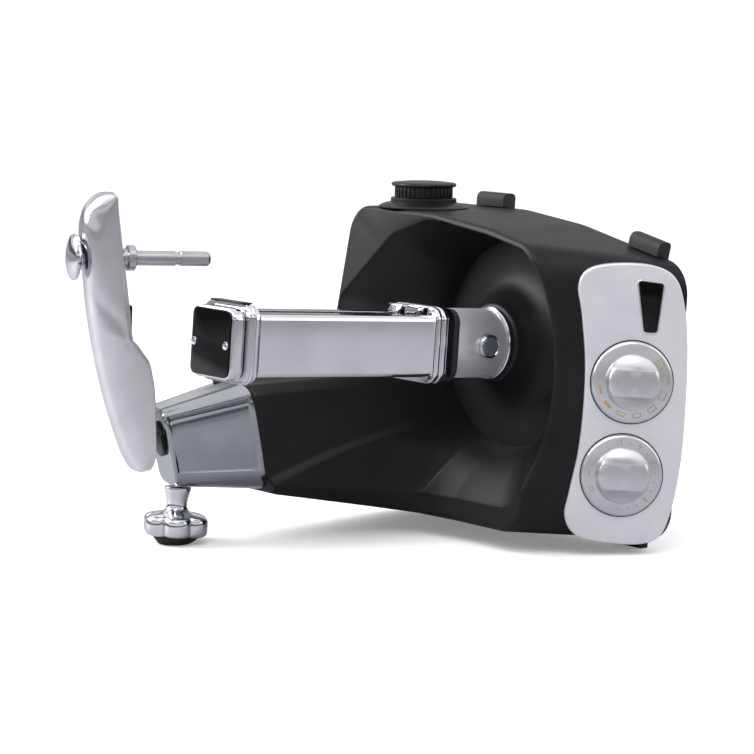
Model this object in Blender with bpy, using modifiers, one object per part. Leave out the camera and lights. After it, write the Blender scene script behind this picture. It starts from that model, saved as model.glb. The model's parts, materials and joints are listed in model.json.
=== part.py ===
"""Kitchen machine lying on its side with a noodle cutter on its drive hub.

Units are metres. The machine frame has its origin at the centre of the hub face, X along the
drive axis from the hub towards the base, Y to the rear and Z up. The machine leans on its screw
foot, so the whole frame is turned by LEAN about Y and set down on the plane Z = 0.
"""
import math

import bmesh
import bpy
from mathutils import Matrix, Vector

# ---- driving dimensions -------------------------------------------------------------------
LEAN = math.radians(4.7)        # the left end of the machine is lifted by the screw foot
GAP = 0.0003                    # clearance between pieces that touch
FIT = 0.0004                    # running clearance of a shaft in its hole

BASE_X = 0.078                  # open edge of the housing, where the base plate closes it
RIM_X = -0.028                  # edge of the bowl recess
WALL = 0.003                    # moulded wall of the housing
REAR_Y = 0.166
BOTTOM_Z = -0.150
TOP_Z = 0.111
SHOULDER_Y = 0.055              # in front of this the upper side falls away
SHOULDER_FALL = 0.105           # how fast it falls, gently as far as the brow
BROW_Y = -0.020
BROW_FALL = 0.20                # and faster in front of the brow
TOP_DRAFT = 0.055
SLOPE = math.radians(33)        # the control face leans back by this much
SLOPE_FOOT_Y = -0.152
CORNER_RADII = (0.025, 0.022, 0.150, 0.200, 0.030, 0.026)
REAR_LEAN = 0.012               # the rear of the rim reaches out this much further, low down
EDGE = 0.005                    # rounding of the rim

FLOOR_X = 0.027                 # floor of the bowl recess
FLOOR_RADIUS = 0.087
HUB_TOP_X = GAP
HUB_RADIUS = 0.0335
HUB_BORE = 0.0173
TOWER_X = -0.155                # where the polished tower starts, at the middle of its height
TOWER_SLANT = 0.27
TOWER_MID_Z = -0.095

ARM_YAW = math.radians(-19.15)  # the arm frame against the machine frame
ARM_RISE = math.radians(1.86)
PIVOT_TIP = math.radians(13.6)  # the pivot axis dips below the arm frame's X axis
TOWER_END = Vector((-0.233, 0.140, -0.0945))
TOWER_END_DROP = 0.0065         # the end section hangs this far below the pivot
TOWER_END_HALF = (0.027, 0.0325)
TOWER_BASE_HALF = (0.0305, 0.0445)
TOWER_BASE_Y = 0.135
ARM_GAP = 0.0075
ARM_HALF = 0.022
ARM_SHAFT_Z = 0.1516
PIN_RADIUS = 0.006

PANEL_THICK = 0.003
DIAL_RADIUS = 0.0335
SPEED_DIAL = (-0.0413, -0.0186)
TIMER_DIAL = (-0.0444, -0.0952)
DIAL_SHAFT = 0.003

SLEEVE_RADIUS = 0.029
SLEEVE_BORE = 0.024
SLEEVE_END = -0.058
SHAFT_RADIUS = 0.008
LOCK_X = -0.026
LOCK_RADIUS = 0.0099

BOX_HALF_Y = 0.032
BOX_TOP = 0.0245
BOX_BOTTOM = -0.0255
COVER_SHEET = 0.0012
FLANGE_HALF = 0.0305
CUT_LEFT = -0.262               # inner faces of the two bearing plates
CUT_RIGHT = -0.088
PLATE_THICK = 0.003
ROLL_SPACING = 0.023
ROLL_Z = -0.003
DISC_COUNT = 14
DISC_OVERLAP = 0.003
ROLL_SHAFT = 0.004
PINION_TEETH = 10
DRIVEN_TEETH = 17
PAIR_TEETH = 16

MOTOR_AT = (0.120, -0.095)      # Y, Z of the motor shaft
MOTOR_RADIUS = 0.027
MOTOR_PULLEY = 0.010
DRIVE_PULLEY = 0.060
BELT = 0.002

PORT_X, PORT_Y = 0.008, 0.110
PORT_RADIUS = 0.039

FOOT_X, FOOT_Y = -0.212, 0.140
STAR_RADIUS = 0.0285
TABLE_DROP = 0.165              # hub centre above the table
SOLE = 0.007
FOOT_WIDTH = 0.036
FRONT_FOOT_Y = -0.102
REAR_FOOT_Y = 0.096

COLLECTION = "noodle_cutter_machine"


# ---- helpers ------------------------------------------------------------------------------
def clear_scene():
    for obj in list(bpy.data.objects):
        bpy.data.objects.remove(obj, do_unlink=True)


def collection(name):
    made = bpy.data.collections.new(name)
    bpy.context.scene.collection.children.link(made)
    return made


def material(name, colour, roughness, metallic=0.0):
    mat = bpy.data.materials.new(name)
    mat.use_nodes = True
    shader = mat.node_tree.nodes["Principled BSDF"]
    shader.inputs["Base Color"].default_value = (*colour, 1.0)
    shader.inputs["Roughness"].default_value = roughness
    shader.inputs["Metallic"].default_value = metallic
    return mat


def empty(name, at, turn, parent=None):
    obj = bpy.data.objects.new(name, None)
    obj.location = at
    obj.rotation_euler = turn.to_euler() if isinstance(turn, Matrix) else turn
    obj.parent = parent
    GUIDES.objects.link(obj)
    return obj


def frame(x_dir, z_dir):
    """Rotation whose local X and Z point along the two directions."""
    z_axis = Vector(z_dir).normalized()
    x_axis = Vector(x_dir)
    x_axis = (x_axis - z_axis * x_axis.dot(z_axis)).normalized()
    y_axis = z_axis.cross(x_axis)
    return Matrix((x_axis, y_axis, z_axis)).transposed()


ALONG_X = frame((0, 1, 0), (1, 0, 0))      # local X, Y, Z = machine Y, Z, X
ALONG_Y = frame((1, 0, 0), (0, -1, 0))     # local X, Y, Z = machine X, Z, -Y
ALONG_Z = Matrix.Identity(3)


def place(obj, at, turn, parent):
    obj.location = at
    obj.rotation_euler = turn.to_euler()
    obj.parent = parent
    return obj


def add(name, mesh, mat, at, turn, parent, smooth=True):
    obj = bpy.data.objects.new(name, mesh)
    PARTS.objects.link(obj)
    mesh.materials.clear()
    mesh.materials.append(mat)
    if smooth:
        mesh.shade_smooth()
        mesh.set_sharp_from_angle(angle=math.radians(35))
    return place(obj, at, turn, parent)


def from_bmesh(name, bm, mat, at=(0, 0, 0), turn=ALONG_Z, parent=None):
    bmesh.ops.recalc_face_normals(bm, faces=bm.faces)
    mesh = bpy.data.meshes.new(name)
    bm.to_mesh(mesh)
    bm.free()
    return add(name, mesh, mat, at, turn, parent)


def as_cutter(obj):
    PARTS.objects.unlink(obj)
    CUTTERS.objects.link(obj)
    obj.hide_render = True
    obj.display_type = "WIRE"
    return obj


def combine(obj, other, operation):
    step = obj.modifiers.new(operation.lower(), "BOOLEAN")
    step.operation = operation
    step.solver = "EXACT"
    step.object = as_cutter(other)


def cut(obj, other):
    combine(obj, other, "DIFFERENCE")


def join(obj, other):
    combine(obj, other, "UNION")


def bevel(obj, width, segments=2, angle=40):
    step = obj.modifiers.new("bevel", "BEVEL")
    step.width = width
    step.segments = segments
    step.limit_method = "ANGLE"
    step.angle_limit = math.radians(angle)
    return obj


def block(name, low, high, mat, parent, rounding=0.0):
    """Box between two corners of the parent's frame."""
    size = Vector(high) - Vector(low)
    bm = bmesh.new()
    bmesh.ops.create_cube(bm, size=1.0)
    bmesh.ops.scale(bm, verts=bm.verts, vec=size)
    obj = from_bmesh(name, bm, mat, (Vector(high) + Vector(low)) / 2, ALONG_Z, parent)
    if rounding:
        bevel(obj, rounding)
    return obj


def rod(name, radius, start, end, mat, at, turn, parent, segments=20):
    """Plain cylinder from start to end along the local Z axis."""
    bm = bmesh.new()
    bmesh.ops.create_cone(bm, cap_ends=True, segments=segments, radius1=radius, radius2=radius,
                          depth=end - start)
    bmesh.ops.translate(bm, verts=bm.verts, vec=(0, 0, (start + end) / 2))
    return from_bmesh(name, bm, mat, at, turn, parent)


def turned(name, profile, mat, at, turn, parent, steps=20):
    """Lathe work: profile points are (along the axis, radius)."""
    area = 0.0
    for (z0, r0), (z1, r1) in zip(profile, profile[1:] + profile[:1]):
        area += r0 * z1 - r1 * z0
    points = list(profile) if area < 0 else list(reversed(profile))
    mesh = bpy.data.meshes.new(name)
    edges = [(i, i + 1) for i in range(len(points) - 1)]
    if all(radius > 1e-6 for _, radius in points):
        edges.append((len(points) - 1, 0))
    mesh.from_pydata([(radius, 0, along) for along, radius in points], edges, [])
    obj = add(name, mesh, mat, at, turn, parent, smooth=False)
    screw = obj.modifiers.new("screw", "SCREW")
    screw.axis = "Z"
    screw.angle = 2 * math.pi
    screw.steps = steps
    screw.render_steps = steps
    screw.use_merge_vertices = True
    screw.merge_threshold = 1e-5
    screw.use_smooth_shade = False
    return obj


def plate(name, loops, low, high, mat, at, turn, parent):
    """Flat outline with its holes, extruded between two heights, made a welded mesh."""
    curve = bpy.data.curves.new(name, "CURVE")
    curve.dimensions = "2D"
    curve.fill_mode = "BOTH"
    curve.extrude = (high - low) / 2
    for loop in loops:
        spline = curve.splines.new("POLY")
        spline.points.add(len(loop) - 1)
        for point, (x, y) in zip(spline.points, loop):
            point.co = (x, y, 0, 1)
        spline.use_cyclic_u = True
    source = bpy.data.objects.new(name + "_outline", curve)
    bpy.context.scene.collection.objects.link(source)
    bpy.context.view_layer.update()
    solid = bpy.data.meshes.new_from_object(source.evaluated_get(bpy.context.evaluated_depsgraph_get()))
    bm = bmesh.new()
    bm.from_mesh(solid)
    bmesh.ops.remove_doubles(bm, verts=bm.verts, dist=1e-6)
    bmesh.ops.translate(bm, verts=bm.verts, vec=(0, 0, (low + high) / 2))
    bpy.data.objects.remove(source)
    return from_bmesh(name, bm, mat, at, turn, parent)


def circle(radius, centre=(0, 0), count=20):
    return [(centre[0] + radius * math.cos(2 * math.pi * i / count),
             centre[1] + radius * math.sin(2 * math.pi * i / count)) for i in range(count)]


def rounded(corners, radii, steps=5):
    """Closed polygon with every corner rounded by its own radius."""
    points = []
    count = len(corners)
    for i, corner in enumerate(corners):
        here = Vector(corner)
        back = (Vector(corners[i - 1]) - here).normalized()
        ahead = (Vector(corners[(i + 1) % count]) - here).normalized()
        half = back.angle(ahead) / 2
        reach = radii[i] / math.tan(half)
        centre = here + (back + ahead).normalized() * (radii[i] / math.sin(half))
        first = here + back * reach - centre
        last = here + ahead * reach - centre
        sweep = first.angle_signed(last)
        for k in range(steps + 1):
            turn = Matrix.Rotation(-sweep * k / steps, 2)
            points.append(tuple(centre + turn @ first))
    return points


def rounded_box(half_x, half_y, radius, steps=4, centre=(0, 0)):
    cx, cy = centre
    corners = [(cx + half_x, cy - half_y), (cx + half_x, cy + half_y),
               (cx - half_x, cy + half_y), (cx - half_x, cy - half_y)]
    return rounded(corners, [radius] * 4, steps)


def smooth_loop(points, per=4):
    """Closed Catmull-Rom curve through the points."""
    result = []
    count = len(points)
    for i in range(count):
        p0, p1, p2, p3 = (Vector(points[(i + k - 1) % count]) for k in range(4))
        for k in range(per):
            t = k / per
            result.append(tuple(0.5 * (2 * p1 + (p2 - p0) * t + (2 * p0 - 5 * p1 + 4 * p2 - p3) * t * t
                                       + (3 * p1 - p0 - 3 * p2 + p3) * t ** 3)))
    return result


def loft(name, rows, mat, parent, cap_first=False, cap_last=False):
    """Skin over rows of points, every row a closed loop with the same number of points."""
    bm = bmesh.new()
    made = [[bm.verts.new(point) for point in row] for row in rows]
    for lower, upper in zip(made, made[1:]):
        count = len(lower)
        for i in range(count):
            j = (i + 1) % count
            bm.faces.new((lower[i], lower[j], upper[j]))
            bm.faces.new((lower[i], upper[j], upper[i]))
    if cap_first:
        bm.faces.new(list(reversed(made[0])))
    if cap_last:
        bm.faces.new(made[-1])
    return from_bmesh(name, bm, mat, (0, 0, 0), ALONG_Z, parent)


def solidify(obj, thickness):
    step = obj.modifiers.new("wall", "SOLIDIFY")
    step.thickness = thickness
    step.offset = -1.0
    step.use_even_offset = True
    step.use_quality_normals = True
    return obj


def gear_outline(teeth, pitch_radius, phase=0.0, play=0.00025):
    """Straight-sided teeth, thinned by the play, on the given pitch circle."""
    module = 2 * pitch_radius / teeth
    pitch = 2 * math.pi / teeth
    tip, root = pitch_radius + 0.75 * module, pitch_radius - 1.05 * module
    tip_half = pitch * 0.11
    root_half = pitch * 0.31 - play / pitch_radius
    loop = []
    for i in range(teeth):
        middle = phase + i * pitch
        for radius, offset in ((root, -root_half), (tip, -tip_half), (tip, tip_half), (root, root_half)):
            loop.append((radius * math.cos(middle + offset), radius * math.sin(middle + offset)))
    return loop


# ---- housing ------------------------------------------------------------------------------
def top_fall(y, brow=BROW_Y):
    """How far the upper side has come down at y."""
    gentle = max(0.0, SHOULDER_Y - max(y, brow)) * SHOULDER_FALL
    return gentle + max(0.0, brow - y) * BROW_FALL


def body_outline(x, inset=0.0):
    """Section of the body at height x, as (Y, Z)."""
    front = SLOPE_FOOT_Y + (BASE_X - x) * math.tan(SLOPE) + inset
    top = TOP_Z - (BASE_X - x) * TOP_DRAFT - inset
    bottom = BOTTOM_Z + max(0.0, RIM_X - x) * 0.1 + inset
    rear = REAR_Y - inset
    brow = max(BROW_Y, front + 0.020)
    corners = [(rear, bottom), (rear, top), (SHOULDER_Y, top), (brow, top - top_fall(brow, brow)),
               (front, top - top_fall(front, brow)), (front, bottom)]
    return rounded(corners, [radius - inset for radius in CORNER_RADII])


def reach(outline, angle):
    """Distance from the drive axis to the outline in one direction."""
    ray = Vector((math.cos(angle), math.sin(angle)))
    best = 0.0
    for start, end in zip(outline, outline[1:] + outline[:1]):
        a, b = Vector(start), Vector(end)
        side_a = ray.x * a.y - ray.y * a.x
        side_b = ray.x * b.y - ray.y * b.x
        if side_a * side_b > 0 or side_a == side_b:
            continue
        hit = a + (b - a) * (side_a / (side_a - side_b))
        best = max(best, hit.dot(ray))
    return best


def around():
    """Directions about the drive axis, closer together where the tower rises."""
    fine = [math.radians(-78 + 4 * i) for i in range(22)]
    coarse = [math.radians(14 + 8 * i) for i in range(34)]
    return fine + coarse


RECESS = [(0.112, -0.0475), (0.1035, -0.056), (0.1035, -0.124), (0.095, -0.131), (-0.092, -0.128),
          (-0.092, 0.097), (0.060, 0.099), (0.104, 0.084), (0.161, 0.025), (0.161, -0.048)]
RECESS_RADII = (0.004, 0.006, 0.008, 0.008, 0.035, 0.045, 0.040, 0.030, 0.012, 0.004)


def rim_height(angle, y, z):
    """X of the rim: level at the sides, lower at the control face and high at the tower."""
    degrees = math.degrees(angle)
    level = RIM_X
    if y < 0:
        dip = max(0.0, 1 - ((z + 0.020) / 0.095) ** 2)
        level = RIM_X + 0.019 * dip * min(1.0, -y / 0.060)
    else:
        level = RIM_X - REAR_LEAN * min(1.0, max(0.0, (0.095 - z) / 0.090)) * min(1.0, y / 0.120)
    rise = 0.0
    if -74 < degrees < -1:
        up = min(1.0, (-1 - degrees) / 14.0) ** 2.5
        down = min(1.0, (degrees + 74) / 20.0) ** 1.5
        rise = up * down
    tower = TOWER_X - TOWER_SLANT * (z - TOWER_MID_Z)
    return level + (tower - level) * rise


def housing_rows(angles, inset=0.0, outer_only=False):
    outer_steps = (0.0, 0.3, 0.6, 0.82, 1.0)
    dish_steps = ((0.25, 0.42), (0.5, 0.72), (0.78, 0.92), (1.0, 1.0))
    hub_steps = ((FLOOR_X, 0.060), (0.022, 0.046), (0.010, 0.037),
                 (HUB_TOP_X + 0.0012, HUB_RADIUS), (HUB_TOP_X, HUB_RADIUS - 0.0015),
                 (HUB_TOP_X, HUB_BORE))
    wall_rows = [[] for _ in outer_steps]
    edge_rows = [[] for _ in range(3)]
    dish_rows = [[] for _ in dish_steps]
    hub_rows = [[] for _ in hub_steps]
    above = []
    recess = rounded(RECESS, RECESS_RADII)
    for angle in angles:
        ray = Vector((math.cos(angle), math.sin(angle)))

        def point(x, radius):
            return (x, radius * ray.x, radius * ray.y)

        side = reach(body_outline(RIM_X), angle)
        for _ in range(2):
            rim = rim_height(angle, side * ray.x, side * ray.y)
            side = reach(body_outline(rim + EDGE), angle)
        for row, share in zip(wall_rows, outer_steps):
            x = BASE_X + share * (rim + EDGE - BASE_X)
            row.append(point(x, reach(body_outline(x), angle) - inset))
        above.append(point(rim - 0.006, side - inset))
        flat = side - EDGE
        lip = min(flat - 0.0006, reach(recess, angle))
        lip_x = rim_height(angle, lip * ray.x, lip * ray.y)
        edge_rows[0].append(point(rim + EDGE * 0.3, side - EDGE * 0.3))
        edge_rows[1].append(point(rim_height(angle, flat * ray.x, flat * ray.y), flat))
        edge_rows[2].append(point(lip_x, lip))
        for row, (depth, inward) in zip(dish_rows, dish_steps):
            row.append(point(lip_x + depth * (FLOOR_X - lip_x), lip + inward * (FLOOR_RADIUS - lip)))
        for row, (x, radius) in zip(hub_rows, hub_steps):
            row.append(point(x, radius))
    if outer_only:
        return wall_rows + [above]
    return wall_rows + edge_rows + dish_rows + hub_rows


def make_housing():
    shell = loft("housing_shell", housing_rows(around()), BLACK_PAINT, MACHINE)
    solidify(shell, WALL)
    cut(shell, block("base_trim", (BASE_X, -0.2, -0.2), (BASE_X + 0.02, 0.2, 0.2), BLACK_PAINT, MACHINE))
    for name, spot in (("speed_hole", SPEED_DIAL), ("timer_hole", TIMER_DIAL)):
        cut(shell, rod(name, DIAL_SHAFT + 0.001, -0.012, 0.010, BLACK_PAINT, (*spot, 0), ALONG_Z,
                       PANEL, 16))
    cut(shell, rod("port_hole", 0.024, -0.010, 0.010, BLACK_PAINT, (0, 0, 0), ALONG_Z, PORT, 24))
    cut(shell, rod("arm_wiring_hole", 0.016, -0.012, 0.012, BLACK_PAINT,
                   (TOWER_X, TOWER_BASE_Y, TOWER_MID_Z), ALONG_X, MACHINE, 20))


def make_base():
    inner = body_outline(BASE_X - 0.0035, WALL / math.cos(SLOPE) + 0.0012)
    outline = [(reach(inner, a) * math.cos(a), reach(inner, a) * math.sin(a)) for a in around()]
    spots = [(0.140, 0.085), (0.140, -0.124), (-0.122, 0.048), (-0.122, -0.122)]
    holes = [circle(0.0024, spot, 12) for spot in spots]
    plate("base_plate", [outline] + holes, BASE_X - 0.0035, BASE_X - 0.0005, GREY_STEEL,
          (0, 0, 0), ALONG_X, MACHINE)


def table_at(x):
    """Height of the table in the machine frame, at the given X."""
    return (-TABLE_DROP + math.sin(LEAN) * x) / math.cos(LEAN)


def make_feet():
    inner, outer = BASE_X + GAP, BASE_X + SOLE
    start = 0.071
    lower = [(start, BOTTOM_Z - GAP), (inner, BOTTOM_Z - GAP), (inner, BOTTOM_Z + 0.030),
             (outer, BOTTOM_Z + 0.030), (outer, table_at(outer)), (start + 0.006, table_at(start + 0.006)),
             (start, BOTTOM_Z - 0.003)]
    rise = 0.0125
    upper = [(start, GAP), (start, rise - 0.006), (start + 0.006, rise), (outer - 0.003, rise),
             (outer, rise - 0.004), (outer, -0.030), (inner, -0.030), (inner, GAP)]
    half = FOOT_WIDTH / 2
    for name, y in (("foot_front_lower", FRONT_FOOT_Y), ("foot_rear_lower", REAR_FOOT_Y)):
        plate(name, [lower], -half, half, RUBBER, (0, y, 0), ALONG_Y, MACHINE)
    for name, y in (("foot_front_upper", FRONT_FOOT_Y), ("foot_rear_upper", REAR_FOOT_Y)):
        fall = BROW_FALL if y < BROW_Y else 0.0
        lean = Matrix.Rotation(math.atan(fall), 3, "X") @ ALONG_Y
        plate(name, [upper], -half, half, RUBBER, (0, y, TOP_Z - top_fall(y)), lean, MACHINE)


# ---- control face -------------------------------------------------------------------------
PANEL_OUTLINE = [(-0.058, 0.0775), (-0.082, 0.072), (-0.0905, 0.058), (-0.086, 0.034), (-0.0805, -0.005),
                 (-0.0795, -0.045), (-0.0815, -0.080), (-0.0865, -0.112), (-0.0885, -0.132),
                 (-0.078, -0.147), (-0.055, -0.1515), (-0.025, -0.1515), (-0.008, -0.143),
                 (0.000, -0.118), (0.0045, -0.080), (0.005, -0.040), (0.0035, 0.005), (-0.001, 0.042),
                 (-0.010, 0.067), (-0.028, 0.077)]
BADGE_OUTLINE = [(-0.0435, 0.066), (-0.0195, 0.064), (-0.0225, 0.0215), (-0.0355, 0.0215)]


def make_panel():
    outline = smooth_loop(PANEL_OUTLINE, 3)
    holes = [circle(DIAL_SHAFT + 0.001, spot, 16) for spot in (SPEED_DIAL, TIMER_DIAL)]
    panel = plate("control_panel", [outline] + holes, -0.010, PANEL_THICK + GAP, SILVER_PAINT,
                  (0, 0, 0), ALONG_Z, PANEL)
    angles = around()
    back = housing_rows(angles, -GAP, outer_only=True)
    below = [(BASE_X + 0.030, y, z) for _, y, z in back[0]]
    cut(panel, loft("panel_back", [below] + back, BLACK_PAINT, MACHINE, True, True))
    top = PANEL_THICK + 2 * GAP
    plate("badge_plate", [rounded(BADGE_OUTLINE, [0.004] * 4, 3)], top, top + 0.0008, BLACK_GLOSS,
          (0, 0, 0), ALONG_Z, PANEL)
    for name, spot, grip in (("speed_dial", SPEED_DIAL, 0.0115), ("timer_dial", TIMER_DIAL, 0.0115)):
        disc = turned(name, [(0.016, 0.0), (0.016, 0.0195), (0.0145, 0.0215), (0.0045, 0.0225),
                             (0.0035, DIAL_RADIUS - 0.0015), (0.002, DIAL_RADIUS), (0.0, DIAL_RADIUS),
                             (0.0, DIAL_SHAFT), (-0.020, DIAL_SHAFT), (-0.020, 0.0)],
                      SILVER_PAINT, (*spot, top), ALONG_Z, PANEL, 24)
        for side in (-1, 1):
            low = (spot[0] - 0.030, spot[1] + (grip if side > 0 else -grip - 0.020), top + 0.0085)
            high = (spot[0] + 0.030, low[1] + 0.020, top + 0.025)
            cut(disc, block(name + "_scoop", low, high, SILVER_PAINT, PANEL))
    unit_hole = [circle(DIAL_SHAFT + 0.001, (0, 0), 16)]
    below_wall = -WALL - 0.003
    plate("speed_control_unit", [rounded_box(0.015, 0.015, 0.003, 2)] + unit_hole,
          below_wall - 0.012, below_wall, NYLON, (*SPEED_DIAL, 0), ALONG_Z, PANEL)
    plate("timer_unit", [circle(0.018, (0, 0), 20)] + unit_hole, below_wall - 0.016, below_wall,
          NYLON, (*TIMER_DIAL, 0), ALONG_Z, PANEL)
    block("circuit_board", (0.066, -0.118, 0.004), (0.068, -0.068, 0.060), GREEN_BOARD, MACHINE)


# ---- drive --------------------------------------------------------------------------------
def belt_loop(radius_a, radius_b, length):
    """Belt line round two wheels, the first at the origin and the second at (length, 0)."""
    lean = math.acos((radius_a - radius_b) / length)
    loop = []
    for i in range(25):
        angle = lean + (2 * math.pi - 2 * lean) * i / 24
        loop.append((radius_a * math.cos(angle), radius_a * math.sin(angle)))
    for i in range(13):
        angle = -lean + 2 * lean * i / 12
        loop.append((length + radius_b * math.cos(angle), radius_b * math.sin(angle)))
    return loop


def make_drive():
    motor = (0, *MOTOR_AT)
    hub = (0, 0, 0)
    turned("output_shaft", [(-0.022, 0), (-0.022, SHAFT_RADIUS - 0.001), (-0.021, SHAFT_RADIUS),
                            (0.073, SHAFT_RADIUS), (0.073, 0)], BRIGHT_STEEL, hub, ALONG_X, MACHINE, 20)
    turned("hub_bushing", [(0.001, SHAFT_RADIUS + FIT), (0.001, HUB_BORE - GAP), (0.024, HUB_BORE - GAP),
                           (0.024, SHAFT_RADIUS + FIT)], BRONZE, hub, ALONG_X, MACHINE, 20)
    turned("lower_bearing", [(0.068, SHAFT_RADIUS + FIT), (0.068, 0.015), (0.0742, 0.015),
                             (0.0742, SHAFT_RADIUS + FIT)], BRONZE, hub, ALONG_X, MACHINE, 20)
    rim = DRIVE_PULLEY
    turned("drive_pulley", [(0.052, SHAFT_RADIUS + GAP), (0.052, 0.014), (0.059, 0.016), (0.057, rim - 0.004),
                            (0.056, rim - 0.004), (0.056, rim), (0.066, rim), (0.066, rim - 0.004),
                            (0.062, rim - 0.004), (0.063, 0.016), (0.066, 0.014),
                            (0.066, SHAFT_RADIUS + GAP)], NYLON, hub, ALONG_X, MACHINE, 20)
    span = math.hypot(*MOTOR_AT)
    toward = math.atan2(MOTOR_AT[1], MOTOR_AT[0])
    turn = ALONG_X @ Matrix.Rotation(toward, 3, "Z")
    inner = belt_loop(rim + GAP, MOTOR_PULLEY + GAP, span)
    outer = belt_loop(rim + BELT, MOTOR_PULLEY + BELT, span)
    plate("drive_belt", [outer, inner], 0.0575, 0.0645, RUBBER, hub, turn, MACHINE)
    turned("motor_pulley", [(0.056, 0.0043), (0.056, MOTOR_PULLEY), (0.066, MOTOR_PULLEY),
                            (0.066, 0.0043)], BRIGHT_STEEL, motor, ALONG_X, MACHINE, 20)
    turned("motor_rotor", [(-0.036, 0), (-0.036, 0.004), (-0.022, 0.004), (-0.022, 0.0175),
                           (0.030, 0.0175), (0.030, 0.004), (0.067, 0.004), (0.067, 0)],
           GREY_STEEL, motor, ALONG_X, MACHINE, 20)
    turned("motor_stator", [(-0.024, 0.0183), (-0.024, MOTOR_RADIUS), (0.034, MOTOR_RADIUS),
                            (0.034, 0.0183)], COPPER, motor, ALONG_X, MACHINE, 20)
    for name, low in (("motor_rear_bracket", -0.0285), ("motor_front_bracket", 0.0343)):
        turned(name, [(low, 0.0044), (low, MOTOR_RADIUS), (low + 0.004, MOTOR_RADIUS),
                      (low + 0.004, 0.0044)], CAST_ALLOY, motor, ALONG_X, MACHINE, 20)
    blades = [(0.020 if i % 2 else 0.011) for i in range(18)]
    outline = [(r * math.cos(2 * math.pi * i / 18), r * math.sin(2 * math.pi * i / 18))
               for i, r in enumerate(blades)]
    plate("motor_fan", [outline, circle(0.0043, (0, 0), 12)], 0.042, 0.049, NYLON, motor, ALONG_X, MACHINE)


# ---- adapter and cutter -------------------------------------------------------------------
def make_adapter():
    sleeve = turned("adapter_sleeve", [(SLEEVE_END, 0.0150), (SLEEVE_END, SLEEVE_RADIUS),
                                       (-0.004, SLEEVE_RADIUS), (-0.003, SLEEVE_RADIUS + 0.0016),
                                       (0.0, SLEEVE_RADIUS + 0.0016), (0.0, SLEEVE_BORE),
                                       (SLEEVE_END + 0.004, SLEEVE_BORE), (SLEEVE_END + 0.004, 0.0150)],
                    CAST_ALLOY, (0, 0, 0), ALONG_X, MACHINE, 20)
    cut(sleeve, rod("lock_hole", LOCK_RADIUS + GAP, 0.018, 0.036, CAST_ALLOY, (LOCK_X, 0, 0), ALONG_Y,
                    MACHINE, 24))
    turned("lock_bezel", [(0.0245, 0.0082), (0.0245, LOCK_RADIUS), (0.0315, LOCK_RADIUS),
                          (0.0325, LOCK_RADIUS - 0.0006), (0.0325, 0.0082)], CHROME, (LOCK_X, 0, 0),
           ALONG_Y, MACHINE, 24)
    turned("lock_button", [(0.0175, 0), (0.0175, 0.0079), (0.0320, 0.0079), (0.0326, 0.0073),
                           (0.0326, 0)], DARK_STEEL, (LOCK_X, 0, 0), ALONG_Y, MACHINE, 24)
    plate("drive_coupling", [circle(0.0125, (0, 0), 20), circle(SHAFT_RADIUS + GAP, (0, 0), 20)],
          -0.034, -0.012, BRIGHT_STEEL, (0, 0, 0), ALONG_X, MACHINE)
    gap_z = abs(ROLL_Z)
    reach_1 = math.hypot(ROLL_SPACING / 2, gap_z)
    pinion = reach_1 * PINION_TEETH / (PINION_TEETH + DRIVEN_TEETH)
    driven = reach_1 - pinion
    toward = math.atan2(ROLL_Z, -ROLL_SPACING / 2)
    shaft = turned("cutter_drive_shaft", [(-0.074, 0), (-0.074, 0.0030), (-0.0665, 0.0030),
                                          (-0.0655, 0.0036), (-0.060, 0.0036), (-0.056, SHAFT_RADIUS),
                                          (-0.022 - GAP, SHAFT_RADIUS), (-0.022 - GAP, 0)],
                   BRIGHT_STEEL, (0, 0, 0), ALONG_X, MACHINE, 20)
    join(shaft, plate("pinion_teeth", [gear_outline(PINION_TEETH, pinion, toward)], -0.0738, -0.068,
                      BRIGHT_STEEL, (0, 0, 0), ALONG_X, MACHINE))
    bore = circle(ROLL_SHAFT + GAP, (0, 0), 16)
    front, rear = (0, -ROLL_SPACING / 2, ROLL_Z), (0, ROLL_SPACING / 2, ROLL_Z)
    half_pitch = math.pi / DRIVEN_TEETH
    pair = ROLL_SPACING / 2
    cluster = plate("front_roll_gears", [gear_outline(PAIR_TEETH, pair), bore], -0.083, -0.0765,
                    BRIGHT_STEEL, front, ALONG_X, MACHINE)
    join(cluster, plate("input_gear", [gear_outline(DRIVEN_TEETH, driven, toward + math.pi + half_pitch),
                                       bore], -0.074, -0.068, BRIGHT_STEEL, front, ALONG_X, MACHINE))
    join(cluster, plate("gear_hub", [circle(0.006, (0, 0), 20), bore], -0.0768, -0.0738, BRIGHT_STEEL,
                        front, ALONG_X, MACHINE))
    plate("rear_roll_gear", [gear_outline(PAIR_TEETH, pair, math.pi + math.pi / PAIR_TEETH), bore],
          -0.083, -0.0765, BRIGHT_STEEL, rear, ALONG_X, MACHINE)


def roll_profile(first, shaft_end):
    """One roll: discs on every second place, from the left bearing plate to its gears."""
    disc = ROLL_SPACING / 2 + DISC_OVERLAP / 2
    core = ROLL_SPACING - disc - FIT
    start, end = CUT_LEFT + 0.002, CUT_RIGHT - 0.002
    pitch = (end - start) / DISC_COUNT
    points = [(CUT_LEFT - 0.006, 0), (CUT_LEFT - 0.006, ROLL_SHAFT), (start - 0.0008, ROLL_SHAFT),
              (start - 0.0008, core)]
    for i in range(first, DISC_COUNT, 2):
        low, high = start + i * pitch + FIT / 2, start + (i + 1) * pitch - FIT / 2
        points += [(low, core), (low, disc), (high, disc), (high, core)]
    points += [(end + 0.0008, core), (end + 0.0008, ROLL_SHAFT), (shaft_end, ROLL_SHAFT), (shaft_end, 0)]
    return points


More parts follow.
